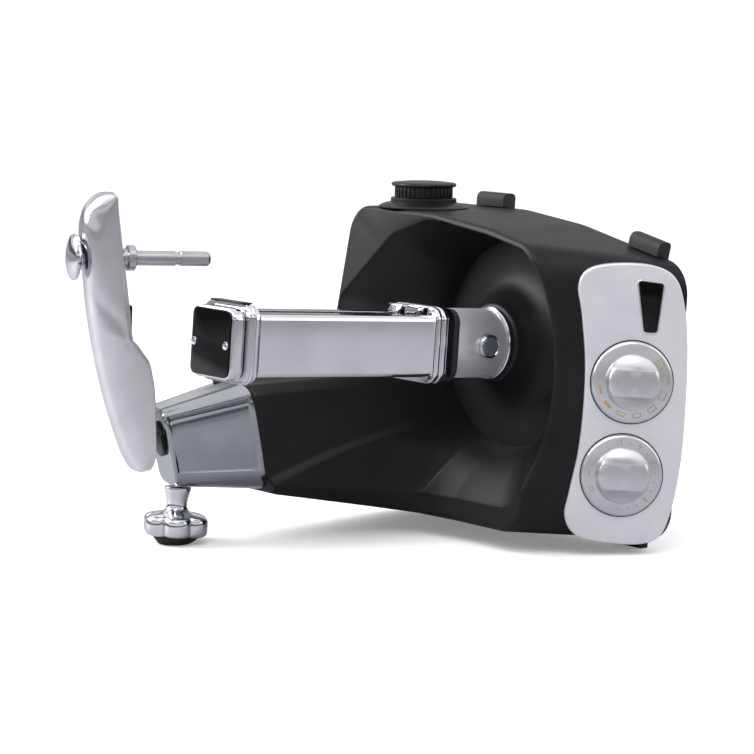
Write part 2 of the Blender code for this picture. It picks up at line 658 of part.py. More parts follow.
def make_cutter():
    rear, front = ROLL_SPACING / 2, -ROLL_SPACING / 2
    turned("front_cutting_roll", roll_profile(0, -0.0672), BRIGHT_STEEL, (0, front, ROLL_Z), ALONG_X,
           MACHINE, 16)
    turned("rear_cutting_roll", roll_profile(1, -0.0757), BRIGHT_STEEL, (0, rear, ROLL_Z), ALONG_X,
           MACHINE, 16)
    big = rounded_box(FLANGE_HALF, FLANGE_HALF, 0.010, 4)
    journals = [circle(ROLL_SHAFT + FIT, (y, ROLL_Z), 16) for y in (front, rear)]
    plate("right_bearing_plate", [big] + journals, CUT_RIGHT, CUT_RIGHT + PLATE_THICK, CHROME,
          (0, 0, 0), ALONG_X, MACHINE)
    plate("left_bearing_plate", [big] + journals, CUT_LEFT - PLATE_THICK, CUT_LEFT, CHROME,
          (0, 0, 0), ALONG_X, MACHINE)
    wide = FLANGE_HALF + 0.0013
    flange = rounded_box(wide, wide, 0.011, 4)
    inside = rounded_box(wide - 0.003, wide - 0.003, 0.008, 4)
    gear_case = plate("gear_case", [flange], CUT_RIGHT + PLATE_THICK + GAP, -0.0643, CHROME,
                      (0, 0, 0), ALONG_X, MACHINE)
    cut(gear_case, plate("gear_case_room", [inside], -0.100, -0.067, CHROME, (0, 0, 0), ALONG_X, MACHINE))
    cut(gear_case, rod("gear_case_bore", 0.0036 + FIT, -0.075, -0.060, CHROME, (0, 0, 0), ALONG_X, MACHINE))
    gasket = rounded_box(FLANGE_HALF - 0.0005, FLANGE_HALF - 0.0005, 0.012, 4)
    plate("cutter_gasket", [gasket, circle(0.013, (0, 0), 20)], -0.064, SLEEVE_END - GAP, RUBBER,
          (0, 0, 0), ALONG_X, MACHINE)
    plate("left_flange", [flange, inside], CUT_LEFT - PLATE_THICK - 0.0075,
          CUT_LEFT - PLATE_THICK - GAP, CHROME, (0, 0, 0), ALONG_X, MACHINE)
    cap_half = (0.0275, 0.0285)
    cap_at = CUT_LEFT - PLATE_THICK - 0.0075 - GAP
    cap_end = cap_at - 0.0125
    cap = plate("left_end_cap", [rounded_box(*cap_half, 0.010, 4)], cap_end, cap_at, CHROME,
                (0, 0, 0), ALONG_X, MACHINE)
    room = rounded_box(cap_half[0] - 0.0022, cap_half[1] - 0.0022, 0.008, 4)
    cut(cap, plate("cap_room", [room], cap_end + 0.0022, cap_at + 0.01, CHROME, (0, 0, 0), ALONG_X, MACHINE))
    screw_spots = [(-0.0215, -0.001), (0.0215, -0.001)]
    for spot in screw_spots:
        cut(cap, rod("cap_screw_hole", 0.0018, cap_end - 0.01, cap_end + 0.01, CHROME,
                     (0, *spot), ALONG_X, MACHINE, 12))
    holes = [circle(0.0018, spot, 12) for spot in screw_spots]
    plate("end_plate", [rounded_box(0.0255, 0.0265, 0.006, 3)] + holes, cap_end - 0.0015,
          cap_end - GAP, BLACK_GLOSS, (0, 0, 0), ALONG_X, MACHINE)
    face = cap_end - 0.0015 - GAP
    for name, spot in (("end_screw_front", screw_spots[0]), ("end_screw_rear", screw_spots[1])):
        turned(name, [(face - 0.0010, 0), (face - 0.0010, 0.0028), (face - 0.0006, 0.0032),
                      (face, 0.0032), (face, 0.0014), (cap_end + 0.006, 0.0014), (cap_end + 0.006, 0)],
               BRIGHT_STEEL, (0, *spot), ALONG_X, MACHINE, 16)
    make_covers()


def cover_outline(side):
    """Bent sheet: upright wall with a lip above and below, seen along the box."""
    y, lip_top, lip_low, t = BOX_HALF_Y, 0.0095, 0.0150, COVER_SHEET
    outer = [(-lip_top, BOX_TOP), (-y, BOX_TOP), (-y, BOX_BOTTOM), (-lip_low, BOX_BOTTOM),
             (-lip_low, BOX_BOTTOM + t), (-y + t, BOX_BOTTOM + t), (-y + t, BOX_TOP - t),
             (-lip_top, BOX_TOP - t)]
    radii = [0.0001, 0.005, 0.005, 0.0001, 0.0001, 0.005 - t, 0.005 - t, 0.0001]
    loop = rounded([(-side * a, b) for a, b in outer][::-side], radii[::-side], 3)
    return loop


def make_covers():
    low, high = CUT_LEFT + GAP, CUT_RIGHT - GAP
    for name, side in (("front_cover", -1), ("rear_cover", 1)):
        plate(name, [cover_outline(side)], low, high, CHROME, (0, 0, 0), ALONG_X, MACHINE)
    disc = ROLL_SPACING / 2 + DISC_OVERLAP / 2
    core = ROLL_SPACING - disc
    start, end = CUT_LEFT + 0.002, CUT_RIGHT - 0.002
    pitch = (end - start) / DISC_COUNT
    for name, side, first in (("front_comb", -1, 1), ("rear_comb", 1, 0)):
        axis = side * ROLL_SPACING / 2
        comb = [(low + 0.0005, 0.0), (high - 0.0005, 0.0), (high - 0.0005, 0.004)]
        for i in reversed(range(DISC_COUNT)):
            if i % 2 == first:
                a, b = start + i * pitch + 0.001, start + (i + 1) * pitch - 0.001
                comb += [(b, 0.004), (b, 0.0105), (a, 0.0105), (a, 0.004)]
        comb.append((low + 0.0005, 0.004))
        y = axis + side * 0.007
        base = ROLL_Z - math.sqrt(core ** 2 - 0.0045 ** 2) - 0.001 - 0.0105
        plate(name, [comb], -0.0015, 0.0015, BRIGHT_STEEL, (0, y, base), ALONG_Y, MACHINE)
    t = COVER_SHEET
    top = BOX_TOP + 0.0078
    guide = [(-0.1005, BOX_TOP - 0.004), (-0.1005 + t, BOX_TOP - 0.004), (-0.1005 + t, top - t - 0.001),
             (high, BOX_TOP + 0.0055 - t), (high, BOX_TOP + 0.0055), (-0.1035, top), (-0.1045, top - t),
             (-0.1005, top - t - 0.001)]
    plate("feed_guide", [guide], -0.0085, 0.0085, CHROME, (0, 0, 0), ALONG_Y, MACHINE)


# ---- accessory port -----------------------------------------------------------------------
def make_port():
    turned("port_collar", [(GAP, 0.0245), (GAP, PORT_RADIUS), (0.0015, PORT_RADIUS), (0.0045, 0.031),
                           (0.0045, 0.0285), (0.0085, 0.0285), (0.0085, 0.0245)], BLACK_PLASTIC,
           (0, 0, 0), ALONG_Z, PORT, 24)
    turned("port_cap", [(-0.004, 0.0), (-0.004, 0.0225), (0.0088, 0.0225), (0.0088, 0.0244),
                        (0.0185, 0.0250), (0.0185, 0.0275), (0.0200, 0.0282), (0.0215, 0.0275),
                        (0.0228, 0.015), (0.0232, 0.0)], BLACK_PLASTIC, (0, 0, 0), ALONG_Z, PORT, 24)
    wall = -WALL - 0.0008
    turned("port_cup", [(-0.018, 0.0), (-0.018, 0.026), (wall, 0.028), (wall, 0.023), (-0.016, 0.023),
                        (-0.016, 0.0)], NYLON, (0, 0, 0), ALONG_Z, PORT, 24)


# ---- tower and arm ------------------------------------------------------------------------
def squircle(count, power=5.0):
    """Rounded square of half size one."""
    points = []
    for i in range(count):
        angle = 2 * math.pi * i / count
        c, s = math.cos(angle), math.sin(angle)
        size = (abs(c) ** power + abs(s) ** power) ** (-1 / power)
        points.append((c * size, s * size))
    return points


def make_tower():
    normal = PIVOT_AXIS
    start, end = [], []
    for a, b in squircle(32):
        y, z = TOWER_BASE_Y + a * TOWER_BASE_HALF[0], TOWER_MID_Z + 0.003 + b * TOWER_BASE_HALF[1]
        start.append(Vector((TOWER_X - TOWER_SLANT * (z - TOWER_MID_Z) - GAP, y, z)))
        y = TOWER_END.y + a * TOWER_END_HALF[0]
        z = TOWER_END.z - TOWER_END_DROP + b * TOWER_END_HALF[1]
        x = TOWER_END.x - (normal.y * (y - TOWER_END.y) + normal.z * (z - TOWER_END.z)) / normal.x
        end.append(Vector((x, y, z)))
    rows = [[p.lerp(q, share) for p, q in zip(start, end)] for share in (0.0, 0.35, 0.7, 1.0)]
    tower = loft("tower_casting", rows, POLISHED, MACHINE, cap_last=True)
    solidify(tower, 0.0045)
    seat = empty("tower_seat", (TOWER_X - GAP, TOWER_BASE_Y, TOWER_MID_Z),
                 frame((0, 1, 0), (1, 0, TOWER_SLANT)), MACHINE)
    cut(tower, block("tower_trim", (-0.05, -0.07, 0.0), (0.05, 0.07, 0.02), POLISHED, seat))
    cut(tower, rod("pivot_bore", PIN_RADIUS + GAP, -0.030, 0.010, POLISHED, (0, 0, 0), ALONG_Z, PIVOT))
    cut(tower, rod("foot_bore", 0.0050 + FIT, -0.090, -0.060, POLISHED, (FOOT_X, FOOT_Y, -0.060), ALONG_Z,
                   MACHINE))
    rod("pivot_pin", PIN_RADIUS, -0.022, ARM_GAP + 0.018, BRIGHT_STEEL, (0, 0, 0), ALONG_Z, PIVOT)
    plate("pivot_bush", [circle(0.015, (0, 0), 20), circle(PIN_RADIUS + GAP, (0, 0), 20)], GAP,
          ARM_GAP - 0.0048, BLACK_PLASTIC, (0, 0, 0), ALONG_Z, PIVOT)


ARM_OUTLINE = [(-0.0394, 0.2055), (-0.0335, 0.160), (-0.0269, 0.115), (-0.0234, 0.088), (-0.0085, 0.067),
               (-0.0035, 0.045), (-0.0017, 0.022), (-0.0010, 0.0), (-0.0020, -0.016), (-0.0110, -0.0255),
               (-0.0180, -0.022), (-0.0270, -0.006), (-0.0365, 0.0197), (-0.0445, 0.0459),
               (-0.0545, 0.0902), (-0.0610, 0.1352), (-0.0650, 0.172), (-0.0625, 0.190), (-0.0530, 0.2015)]


def make_arm():
    arm = plate("arm_casting", [smooth_loop(ARM_OUTLINE, 2)], -ARM_HALF, ARM_HALF, POLISHED,
                (0, 0, 0), ALONG_Y, ARM)
    bevel(arm, 0.006, 2, 50)
    cut(arm, rod("arm_pivot_hole", PIN_RADIUS + FIT, ARM_GAP - 0.020, ARM_GAP + 0.0185, POLISHED,
                 (0, 0, 0), ALONG_Z, PIVOT))
    shaft_frame = frame((0, 1, 0), (1, 0, 0))
    at = (0, 0, ARM_SHAFT_Z)
    cut(arm, rod("arm_shaft_hole", 0.006 + FIT, -0.080, 0.0, POLISHED, at, shaft_frame, ARM))
    turned("roller_shaft", [(-0.050, 0), (-0.050, 0.006), (-0.0285, 0.006), (-0.0285, 0.0078),
                            (-0.0250, 0.0078), (-0.0250, 0.0106), (-0.0188, 0.0106), (-0.0178, 0.0062),
                            (0.0160, 0.0062), (0.0160, 0.0052), (0.0200, 0.0052), (0.0200, 0.0062),
                            (0.0435, 0.0062), (0.0455, 0.0048), (0.0455, 0)], BRIGHT_STEEL, at,
           shaft_frame, ARM, 20)
    turned("arm_knob", [(-0.0755, 0.0), (-0.0745, 0.010), (-0.0715, 0.0185), (-0.0695, 0.0192),
                        (-0.0672, 0.0185), (-0.0664, 0.0150), (-0.0652, 0.0130), (-0.0652, 0.0055),
                        (-0.0505, 0.0055), (-0.0505, 0.0)], CHROME, at, shaft_frame, ARM, 28)
    block("arm_release_lever", (-0.0240, -0.007, 0.0905), (-0.0205, 0.007, 0.113), BLACK_PLASTIC, ARM,
          0.001)


def make_screw_foot():
    at = (FOOT_X, FOOT_Y, 0)
    rod("foot_screw", 0.0050, -0.1745, -0.108, BRIGHT_STEEL, at, ALONG_Z, MACHINE, 16)
    star = turned("star_knob", [(-0.1352, 0.0054), (-0.1352, 0.0108), (-0.1362, 0.0115), (-0.1480, 0.0088),
                                (-0.1550, 0.0105), (-0.1590, STAR_RADIUS - 0.004),
                                (-0.1620, STAR_RADIUS), (-0.1735, STAR_RADIUS),
                                (-0.1765, STAR_RADIUS - 0.004), (-0.1765, 0.0054)], CHROME, at, ALONG_Z,
                  MACHINE, 24)
    for i in range(6):
        angle = math.radians(30 + 60 * i)
        spot = (FOOT_X + (STAR_RADIUS + 0.0065) * math.cos(angle),
                FOOT_Y + (STAR_RADIUS + 0.0065) * math.sin(angle), 0)
        cut(star, rod("star_scallop", 0.0115, -0.185, -0.1582, CHROME, spot, ALONG_Z, MACHINE, 16))
    table = table_at(FOOT_X)
    pad = turned("foot_pad", [(-0.1768, 0.0), (-0.1768, 0.0185), (-0.1790, 0.0185),
                              (table - 0.0010, 0.0120), (table - 0.0010, 0.0)], RUBBER, at, ALONG_Z,
                 MACHINE, 24)
    level = empty("table_plane", (FOOT_X, FOOT_Y, table), Matrix.Rotation(-LEAN, 3, "Y"), MACHINE)
    cut(pad, block("pad_flat", (-0.03, -0.03, -0.02), (0.03, 0.03, 0.0), RUBBER, level))


# ---- assembly -----------------------------------------------------------------------------
clear_scene()
PARTS = collection(COLLECTION)
CUTTERS = collection("cutters")
GUIDES = collection("guides")

BLACK_PAINT = material("black_paint", (0.012, 0.012, 0.014), 0.45)
BLACK_PLASTIC = material("black_plastic", (0.015, 0.015, 0.017), 0.40)
BLACK_GLOSS = material("black_gloss", (0.004, 0.004, 0.004), 0.12)
SILVER_PAINT = material("silver_paint", (0.66, 0.66, 0.67), 0.30, 0.6)
CHROME = material("chrome", (0.80, 0.80, 0.81), 0.10, 1.0)
POLISHED = material("polished_aluminium", (0.78, 0.79, 0.80), 0.18, 1.0)
CAST_ALLOY = material("cast_alloy", (0.55, 0.55, 0.56), 0.35, 1.0)
BRIGHT_STEEL = material("bright_steel", (0.60, 0.60, 0.60), 0.22, 1.0)
DARK_STEEL = material("dark_steel", (0.16, 0.17, 0.19), 0.35, 1.0)
GREY_STEEL = material("grey_steel", (0.30, 0.30, 0.31), 0.45, 1.0)
BRONZE = material("bronze", (0.50, 0.33, 0.15), 0.35, 1.0)
COPPER = material("copper", (0.60, 0.28, 0.16), 0.40, 1.0)
RUBBER = material("rubber", (0.010, 0.010, 0.010), 0.80)
NYLON = material("nylon", (0.70, 0.69, 0.64), 0.50)
GREEN_BOARD = material("green_board", (0.02, 0.16, 0.07), 0.45)

MACHINE = empty("machine_frame", (0, 0, 0), (0, LEAN, 0))
PANEL = empty("panel_frame", (BASE_X, SLOPE_FOOT_Y, 0),
              frame((math.cos(SLOPE), -math.sin(SLOPE), 0), (-math.sin(SLOPE), -math.cos(SLOPE), 0)), MACHINE)
PORT = empty("port_frame", (PORT_X, PORT_Y, TOP_Z - (BASE_X - PORT_X) * TOP_DRAFT),
             frame((1, 0, TOP_DRAFT), (-TOP_DRAFT, 0, 1)), MACHINE)
ARM_TURN = Matrix.Rotation(ARM_YAW, 3, "Z") @ Matrix.Rotation(-ARM_RISE, 3, "Y")
PIVOT_AXIS = ARM_TURN @ Vector((-math.cos(PIVOT_TIP), 0, -math.sin(PIVOT_TIP)))
ARM = empty("arm_frame", TOWER_END + PIVOT_AXIS * ARM_GAP, ARM_TURN, MACHINE)
PIVOT = empty("pivot_frame", TOWER_END, frame((0, 0, 1), PIVOT_AXIS), MACHINE)

make_housing()
make_base()
make_feet()
make_panel()
make_drive()
make_adapter()
make_cutter()
make_port()
make_tower()
make_arm()
make_screw_foot()


def set_down():
    """Stands the machine on Z = 0 with the middle of its plan at the origin."""
    bpy.context.view_layer.update()
    graph = bpy.context.evaluated_depsgraph_get()
    low, high = Vector((9, 9, 9)), Vector((-9, -9, -9))
    for obj in PARTS.objects:
        shown = obj.evaluated_get(graph)
        mesh = shown.to_mesh()
        for vertex in mesh.vertices:
            spot = shown.matrix_world @ vertex.co
            low = Vector(map(min, low, spot))
            high = Vector(map(max, high, spot))
        shown.to_mesh_clear()
    MACHINE.location = (-(low.x + high.x) / 2, -(low.y + high.y) / 2, -low.z)


set_down()
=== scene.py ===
"""Finished look of a kitchen machine that lies on its side with a noodle cutter on its drive hub.

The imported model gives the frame, and lengths are metres. Most pieces are made in the machine frame:
X runs along the drive axis from the hub to the base, Y to the rear and Z up. Other frames sit on
the control face, the accessory port, the arm and its pivot, and all come from the model's joints.
"""
import json
import math

import bmesh
import bpy
import numpy as np
from mathutils import Matrix, Vector
from mathutils.bvhtree import BVHTree


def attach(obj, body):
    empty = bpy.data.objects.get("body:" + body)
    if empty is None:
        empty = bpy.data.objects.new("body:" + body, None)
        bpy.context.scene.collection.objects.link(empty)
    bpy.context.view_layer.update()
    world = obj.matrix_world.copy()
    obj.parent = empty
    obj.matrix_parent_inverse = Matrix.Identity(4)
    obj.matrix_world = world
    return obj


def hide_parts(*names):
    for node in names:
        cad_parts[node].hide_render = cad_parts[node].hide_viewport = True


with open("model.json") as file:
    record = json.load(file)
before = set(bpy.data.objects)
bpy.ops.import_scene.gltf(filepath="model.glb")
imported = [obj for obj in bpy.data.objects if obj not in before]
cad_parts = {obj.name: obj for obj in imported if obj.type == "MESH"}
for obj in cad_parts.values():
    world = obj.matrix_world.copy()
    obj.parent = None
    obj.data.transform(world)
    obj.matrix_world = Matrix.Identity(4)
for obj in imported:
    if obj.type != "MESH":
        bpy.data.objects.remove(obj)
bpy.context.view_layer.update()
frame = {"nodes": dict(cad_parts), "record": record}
JOINTS = {joint["name"]: joint for joint in frame["record"]["behaviour"]["joints"]}


# ---- frames -------------------------------------------------------------------------------
def axes(at, x_dir, z_dir):
    """Frame at a point, with its Z along z_dir and its X as near x_dir as it can be."""
    z_axis = Vector(z_dir).normalized()
    x_axis = Vector(x_dir)
    x_axis = (x_axis - z_axis * x_axis.dot(z_axis)).normalized()
    turn = Matrix((x_axis, z_axis.cross(x_axis), z_axis)).transposed()
    return Matrix.Translation(at) @ turn.to_4x4()


def joint_at(name):
    return Vector(JOINTS[name]["pos_m"])


def joint_axis(name):
    return Vector(JOINTS[name]["axis"])


ORIGIN = Vector((0, 0, 0))
ORIGIN_FRAME = Matrix.Identity(4)
ALONG_X = axes(ORIGIN, (0, 1, 0), (1, 0, 0))       # local X, Y, Z = machine Y, Z, X
ALONG_Y = axes(ORIGIN, (1, 0, 0), (0, -1, 0))      # local X, Y, Z = machine X, Z, -Y

SPEED_DIAL = Vector((-0.0413, -0.0186, 0))         # on the control face
ARM_SHAFT_Z = 0.1516                               # the roller shaft's place up the arm

DRIVE = joint_axis("drive_spin")
MACHINE = axes(joint_at("drive_spin"), DRIVE, DRIVE.cross(Vector((0, 1, 0))))
PANEL = axes(joint_at("speed_dial_turn"), DRIVE, -joint_axis("speed_dial_turn"))
PANEL = PANEL @ Matrix.Translation(-SPEED_DIAL)
TIMER_DIAL = PANEL.inverted() @ joint_at("timer_dial_turn")
PORT = axes(joint_at("port_cap_turn"), DRIVE, joint_axis("port_cap_turn"))
PIVOT = axes(joint_at("arm_swing"), MACHINE.col[2].xyz, joint_axis("arm_swing"))
ARM = axes(joint_at("roller_shaft_spin"), joint_axis("roller_shaft_spin"),
           joint_axis("roller_shaft_spin").cross(joint_axis("arm_lever_tilt")))
ARM = ARM @ Matrix.Translation((0, 0, -ARM_SHAFT_Z))


def machine(at=(0, 0, 0), turn=Matrix.Identity(4)):
    """Frame at a point of the machine frame."""
    return MACHINE @ Matrix.Translation(at) @ turn


# ---- driving dimensions, as in the model --------------------------------------------------
LEAN = math.asin(-DRIVE.z)          # the machine leans on its screw foot
TABLE_DROP = MACHINE.translation.z  # the hub's height above the table


def table_at(x):
    """Height of the table in the machine frame, at the given X."""
    return (-TABLE_DROP + math.sin(LEAN) * x) / math.cos(LEAN)


GAP = 0.0003            # clearance between pieces that touch
BASE_X = 0.078          # open edge of the housing, where the base plate closes it
RIM_X = -0.028          # edge of the bowl recess
WALL = 0.003
REAR_Y = 0.166
BOTTOM_Z = -0.150
TOP_Z = 0.111
SHOULDER_Y = 0.055      # in front of this the upper side falls gently
SHOULDER_FALL = 0.105
BROW_Y = -0.020         # and in front of this it falls faster
BROW_FALL = 0.20
TOP_DRAFT = 0.055
SLOPE = math.radians(33)    # the control face leans back by this much
SLOPE_FOOT_Y = -0.152
CORNER_RADII = (0.025, 0.022, 0.150, 0.200, 0.030, 0.026)
REAR_LEAN = 0.012
EDGE = 0.005            # rounding of the rim
FLOOR_X = 0.027         # floor of the bowl recess
FLOOR_RADIUS = 0.087
HUB_RADIUS = 0.0335
HUB_BORE = 0.0173
TOWER_X = -0.155
TOWER_SLANT = 0.27
TOWER_MID_Z = -0.095
TOWER_END = MACHINE.inverted() @ joint_at("arm_swing")
TOWER_END_DROP = 0.0065  # the end section hangs this far below the pivot
TOWER_END_HALF = (0.027, 0.0325)
TOWER_BASE_HALF = (0.0305, 0.0445)
TOWER_BASE_Y = 0.135
PANEL_TOP = 0.0033      # face of the control panel above the housing
DIAL_RADIUS = 0.0335
SLEEVE_RADIUS = 0.029
SLEEVE_END = -0.058
LOCK_X = -0.026
BOX_HALF_Y = 0.032
BOX_TOP = 0.0245
BOX_BOTTOM = -0.0255
FLANGE_HALF = 0.0305
CUT_LEFT = -0.262       # inner faces of the cutter's two bearing plates
CUT_RIGHT = -0.088
ROLL_SPACING = 0.023
ROLL_Z = -0.003
DISC_COUNT = 14
PORT_RADIUS = 0.039
FOOT_X, FOOT_Y = -0.212, 0.140
STAR_RADIUS = 0.0285
FOOT_WIDTH = 0.036
FRONT_FOOT_Y = -0.102
REAR_FOOT_Y = 0.096
SOLE = 0.007
INK = 0.00012           # height of the printed marks, drawn thicker than ink so that they show
SHEET = 0.0012          # thickness of the bent covers
FOOT_START = 0.071      # the corner feet reach this far along the sides
FOOT_RISE = 0.0125      # height of the upper corner feet


# ---- finishes -----------------------------------------------------------------------------
def linear(hex_colour):
    """sRGB hex colour as the linear colour that a shader takes."""
    parts = [int(hex_colour[i:i + 2], 16) / 255 for i in (1, 3, 5)]
    parts = [p / 12.92 if p <= 0.04045 else ((p + 0.055) / 1.055) ** 2.4 for p in parts]
    return (*parts, 1.0)


def add_node(tree, kind, inputs=(), **settings):
    """Adds a node, sets it up, and gives each named input a value or a link."""
    made = tree.nodes.new(kind)
    for name, value in settings.items():
        setattr(made, name, value)
    for name, value in dict(inputs).items():
        if isinstance(value, bpy.types.NodeSocket):
            tree.links.new(value, made.inputs[name])
        else:
            made.inputs[name].default_value = value
    return made


def grained(name, light, dark, rough, grain, bump=0.0, blotch=0.04, stretch=(1, 1, 1), plain=()):
    """Finish with a fine grain in its gloss and relief, and broad clouds in its colour.

    light and dark are the two colours, rough the lowest and highest roughness, grain and blotch
    the sizes of the two patterns, bump the height of the relief and plain the uniform values.
    """
    mat = bpy.data.materials.new(name)
    mat.use_nodes = True
    tree = mat.node_tree
    shader = tree.nodes["Principled BSDF"]
    for socket, value in dict(plain).items():
        shader.inputs[socket].default_value = value
    place = add_node(tree, "ShaderNodeTexCoord").outputs["Object"]
    along = add_node(tree, "ShaderNodeMapping", {"Vector": place, "Scale": stretch}).outputs["Vector"]
    fine = add_node(tree, "ShaderNodeTexNoise", {"Vector": along, "Scale": 1 / grain, "Detail": 3.0})
    broad = add_node(tree, "ShaderNodeTexNoise", {"Vector": place, "Scale": 1 / blotch, "Detail": 2.0})
    fine, broad = fine.outputs["Fac"], broad.outputs["Fac"]
    clouds = add_node(tree, "ShaderNodeMapRange", {"Value": broad, "From Min": 0.3, "From Max": 0.7})
    tint = add_node(tree, "ShaderNodeMixRGB", {"Fac": clouds.outputs["Result"], "Color1": linear(light),
                                               "Color2": linear(dark)})
    gloss = add_node(tree, "ShaderNodeMapRange", {"Value": fine, "From Min": 0.3, "From Max": 0.7,
                                                  "To Min": rough[0], "To Max": rough[1]})
    tree.links.new(tint.outputs["Color"], shader.inputs["Base Color"])
    tree.links.new(gloss.outputs["Result"], shader.inputs["Roughness"])
    if bump:
        relief = add_node(tree, "ShaderNodeBump", {"Height": fine, "Distance": bump})
        tree.links.new(relief.outputs["Normal"], shader.inputs["Normal"])
    return mat


# structured black powder coat on cast metal: a pebbled skin that scatters a soft grey sheen
POWDER_COAT = grained("structured_powder_coat", "#151518", "#101013", (0.36, 0.50), 0.0009, 0.00010,
                      plain={"Specular IOR Level": 0.20})
# moulded ABS with a fine spark texture: satin black
SATIN_ABS = grained("moulded_abs", "#101013", "#0b0b0d", (0.30, 0.42), 0.0006, 0.00003,
                    plain={"Specular IOR Level": 0.30})
# black acrylic sheet: deep gloss
ACRYLIC = grained("black_acrylic", "#050506", "#020203", (0.04, 0.08), 0.01,
                  plain={"Specular IOR Level": 0.30})
# silver metallic lacquer over ABS under a clear coat: flakes glitter faintly
SILVER_LACQUER = grained("silver_lacquer", "#cdced3", "#c3c4ca", (0.30, 0.42), 0.0005, 0.000008,
                         plain={"Metallic": 0.45, "Coat Weight": 0.5, "Coat Roughness": 0.12})
# bright chrome plate on pressed steel: a mirror with faint polishing clouds
CHROME = grained("chrome_plate", "#dfdfe4", "#d3d4d9", (0.05, 0.10), 0.02, plain={"Metallic": 1.0})
# vacuum-metallised ABS dials: bright, with a soft satin bloom that blurs what it mirrors
METALLISED = grained("metallised_abs", "#d9dadf", "#d0d1d6", (0.28, 0.32), 0.0008, plain={"Metallic": 1.0})
# cast aluminium, machine polished: a mid-grey mirror with fine lengthwise polishing lines
MIRROR_CAST = grained("polished_cast_aluminium", "#adafb5", "#9c9fa6", (0.08, 0.14), 0.0012, 0.000004,
                      stretch=(0.06, 1, 1), plain={"Metallic": 1.0})
# cast aluminium, hand polished to a satin sheen with broad soft clouds
SATIN_CAST = grained("satin_cast_aluminium", "#dcdce0", "#d0d1d5", (0.20, 0.26), 0.0015, 0.000004,
                     blotch=0.03, stretch=(1, 1, 0.15), plain={"Metallic": 1.0})
# turned alloy sleeve: grey satin with tool lines round the axis
TURNED_ALLOY = grained("turned_alloy", "#d0d1d6", "#c2c3c9", (0.42, 0.52), 0.0006, 0.00001,
                       stretch=(1, 0.04, 0.04), plain={"Metallic": 0.7})
# ground stainless steel: bright with a fine grain round the shaft
GROUND_STEEL = grained("ground_stainless", "#bcbcc0", "#acacb0", (0.18, 0.24), 0.0005, 0.000003,
                       stretch=(1, 0.1, 0.1), plain={"Metallic": 1.0})
# blued steel button: dark blue-grey satin
BLUED_STEEL = grained("blued_steel", "#6a6e7c", "#5c606d", (0.34, 0.46), 0.0008, 0.00001,
                      plain={"Metallic": 0.5})
# zinc-plated sheet: grey with crystal clouds
ZINC_SHEET = grained("zinc_plated_sheet", "#a9abaf", "#8f9196", (0.30, 0.48), 0.004, 0.00001,
                     blotch=0.012, plain={"Metallic": 1.0})
# sintered bronze bearing: oily brown metal
BRONZE = grained("sintered_bronze", "#a9855a", "#8d6a42", (0.32, 0.48), 0.0006, 0.00003,
                 plain={"Metallic": 1.0})
# enamelled copper windings: reddish lacquered wire, drawn 1 mm coarse
COPPER = grained("enamelled_copper", "#b56a43", "#94502f", (0.22, 0.40), 0.001, 0.00012,
                 stretch=(0.1, 1, 1), plain={"Metallic": 0.8})
# nitrile rubber: dull black
RUBBER = grained("nitrile_rubber", "#161617", "#0f0f10", (0.62, 0.78), 0.0008, 0.00006)
# natural nylon gears and cups: milky white
NYLON = grained("natural_nylon", "#dedacb", "#d2cdbb", (0.38, 0.50), 0.003, 0.00001,
                plain={"Subsurface Weight": 0.1})
# glass-epoxy board under green solder resist
GREEN_BOARD = grained("glass_epoxy_board", "#1d6b3a", "#14522b", (0.25, 0.40), 0.002, 0.00002)
# pad-printed gold-brown ink
GOLD_INK = grained("gold_brown_ink", "#a98a58", "#94764a", (0.40, 0.55), 0.0006)


# ---- making pieces ------------------------------------------------------------------------
def new_object(name, bm):
    """Object from a bmesh, welded and with its faces pointing outwards."""
    bmesh.ops.remove_doubles(bm, verts=bm.verts, dist=2e-6)
    bmesh.ops.recalc_face_normals(bm, faces=bm.faces)
    mesh = bpy.data.meshes.new(name)
    bm.to_mesh(mesh)
    bm.free()
    obj = bpy.data.objects.new(name, mesh)
    bpy.context.scene.collection.objects.link(obj)
    return obj


def skin(name, rows, place, cap_first=False, cap_last=False):
    """Skin over rows of points, every row a closed loop with the same number of points."""
    bm = bmesh.new()
    made = [[bm.verts.new(place @ Vector(point)) for point in row] for row in rows]
    count = len(made[0])
    for lower, upper in zip(made, made[1:]):
        for i in range(count):
            j = (i + 1) % count
            bm.faces.new((lower[i], lower[j], upper[j], upper[i]))
    if cap_first:
        bm.faces.new(made[0][::-1])
    if cap_last:
        bm.faces.new(made[-1])
    return new_object(name, bm)


def lathe(name, profile, place, steps=96):
    """Turned piece round the frame's Z axis: profile points are (along the axis, radius)."""
    if all(radius > 0 for _, radius in profile):
        profile = profile + profile[:1]
    turns = [(math.cos(2 * math.pi * i / steps), math.sin(2 * math.pi * i / steps)) for i in range(steps)]
    rows = [[(radius * c, radius * s, along) for c, s in turns] for along, radius in profile]
    return skin(name, rows, place)


def anticlockwise(loop):
    area = sum(a[0] * b[1] - a[1] * b[0] for a, b in zip(loop, loop[1:] + loop[:1]))
    return list(loop) if area > 0 else list(reversed(loop))


def inset(loop, distance):
    """The loop moved inwards by a distance."""
    points = [Vector(point[:2]) for point in loop]
    moved = []
    for i, point in enumerate(points):
        back = (point - points[i - 1]).normalized()
        ahead = (points[(i + 1) % len(points)] - point).normalized()
        inward = Vector((-back.y - ahead.y, back.x + ahead.x)).normalized()
        square = max(0.35, inward.dot(Vector((-ahead.y, ahead.x))))
        moved.append(point + inward * (distance / square))
    return moved


def slab(name, loop, layers, place):
    """Outline raised through layers of (height, inset)."""
    loop = anticlockwise(loop)
    rows = [[(*point, height) for point in inset(loop, distance)] for height, distance in layers]
    return skin(name, rows, place, True, True)


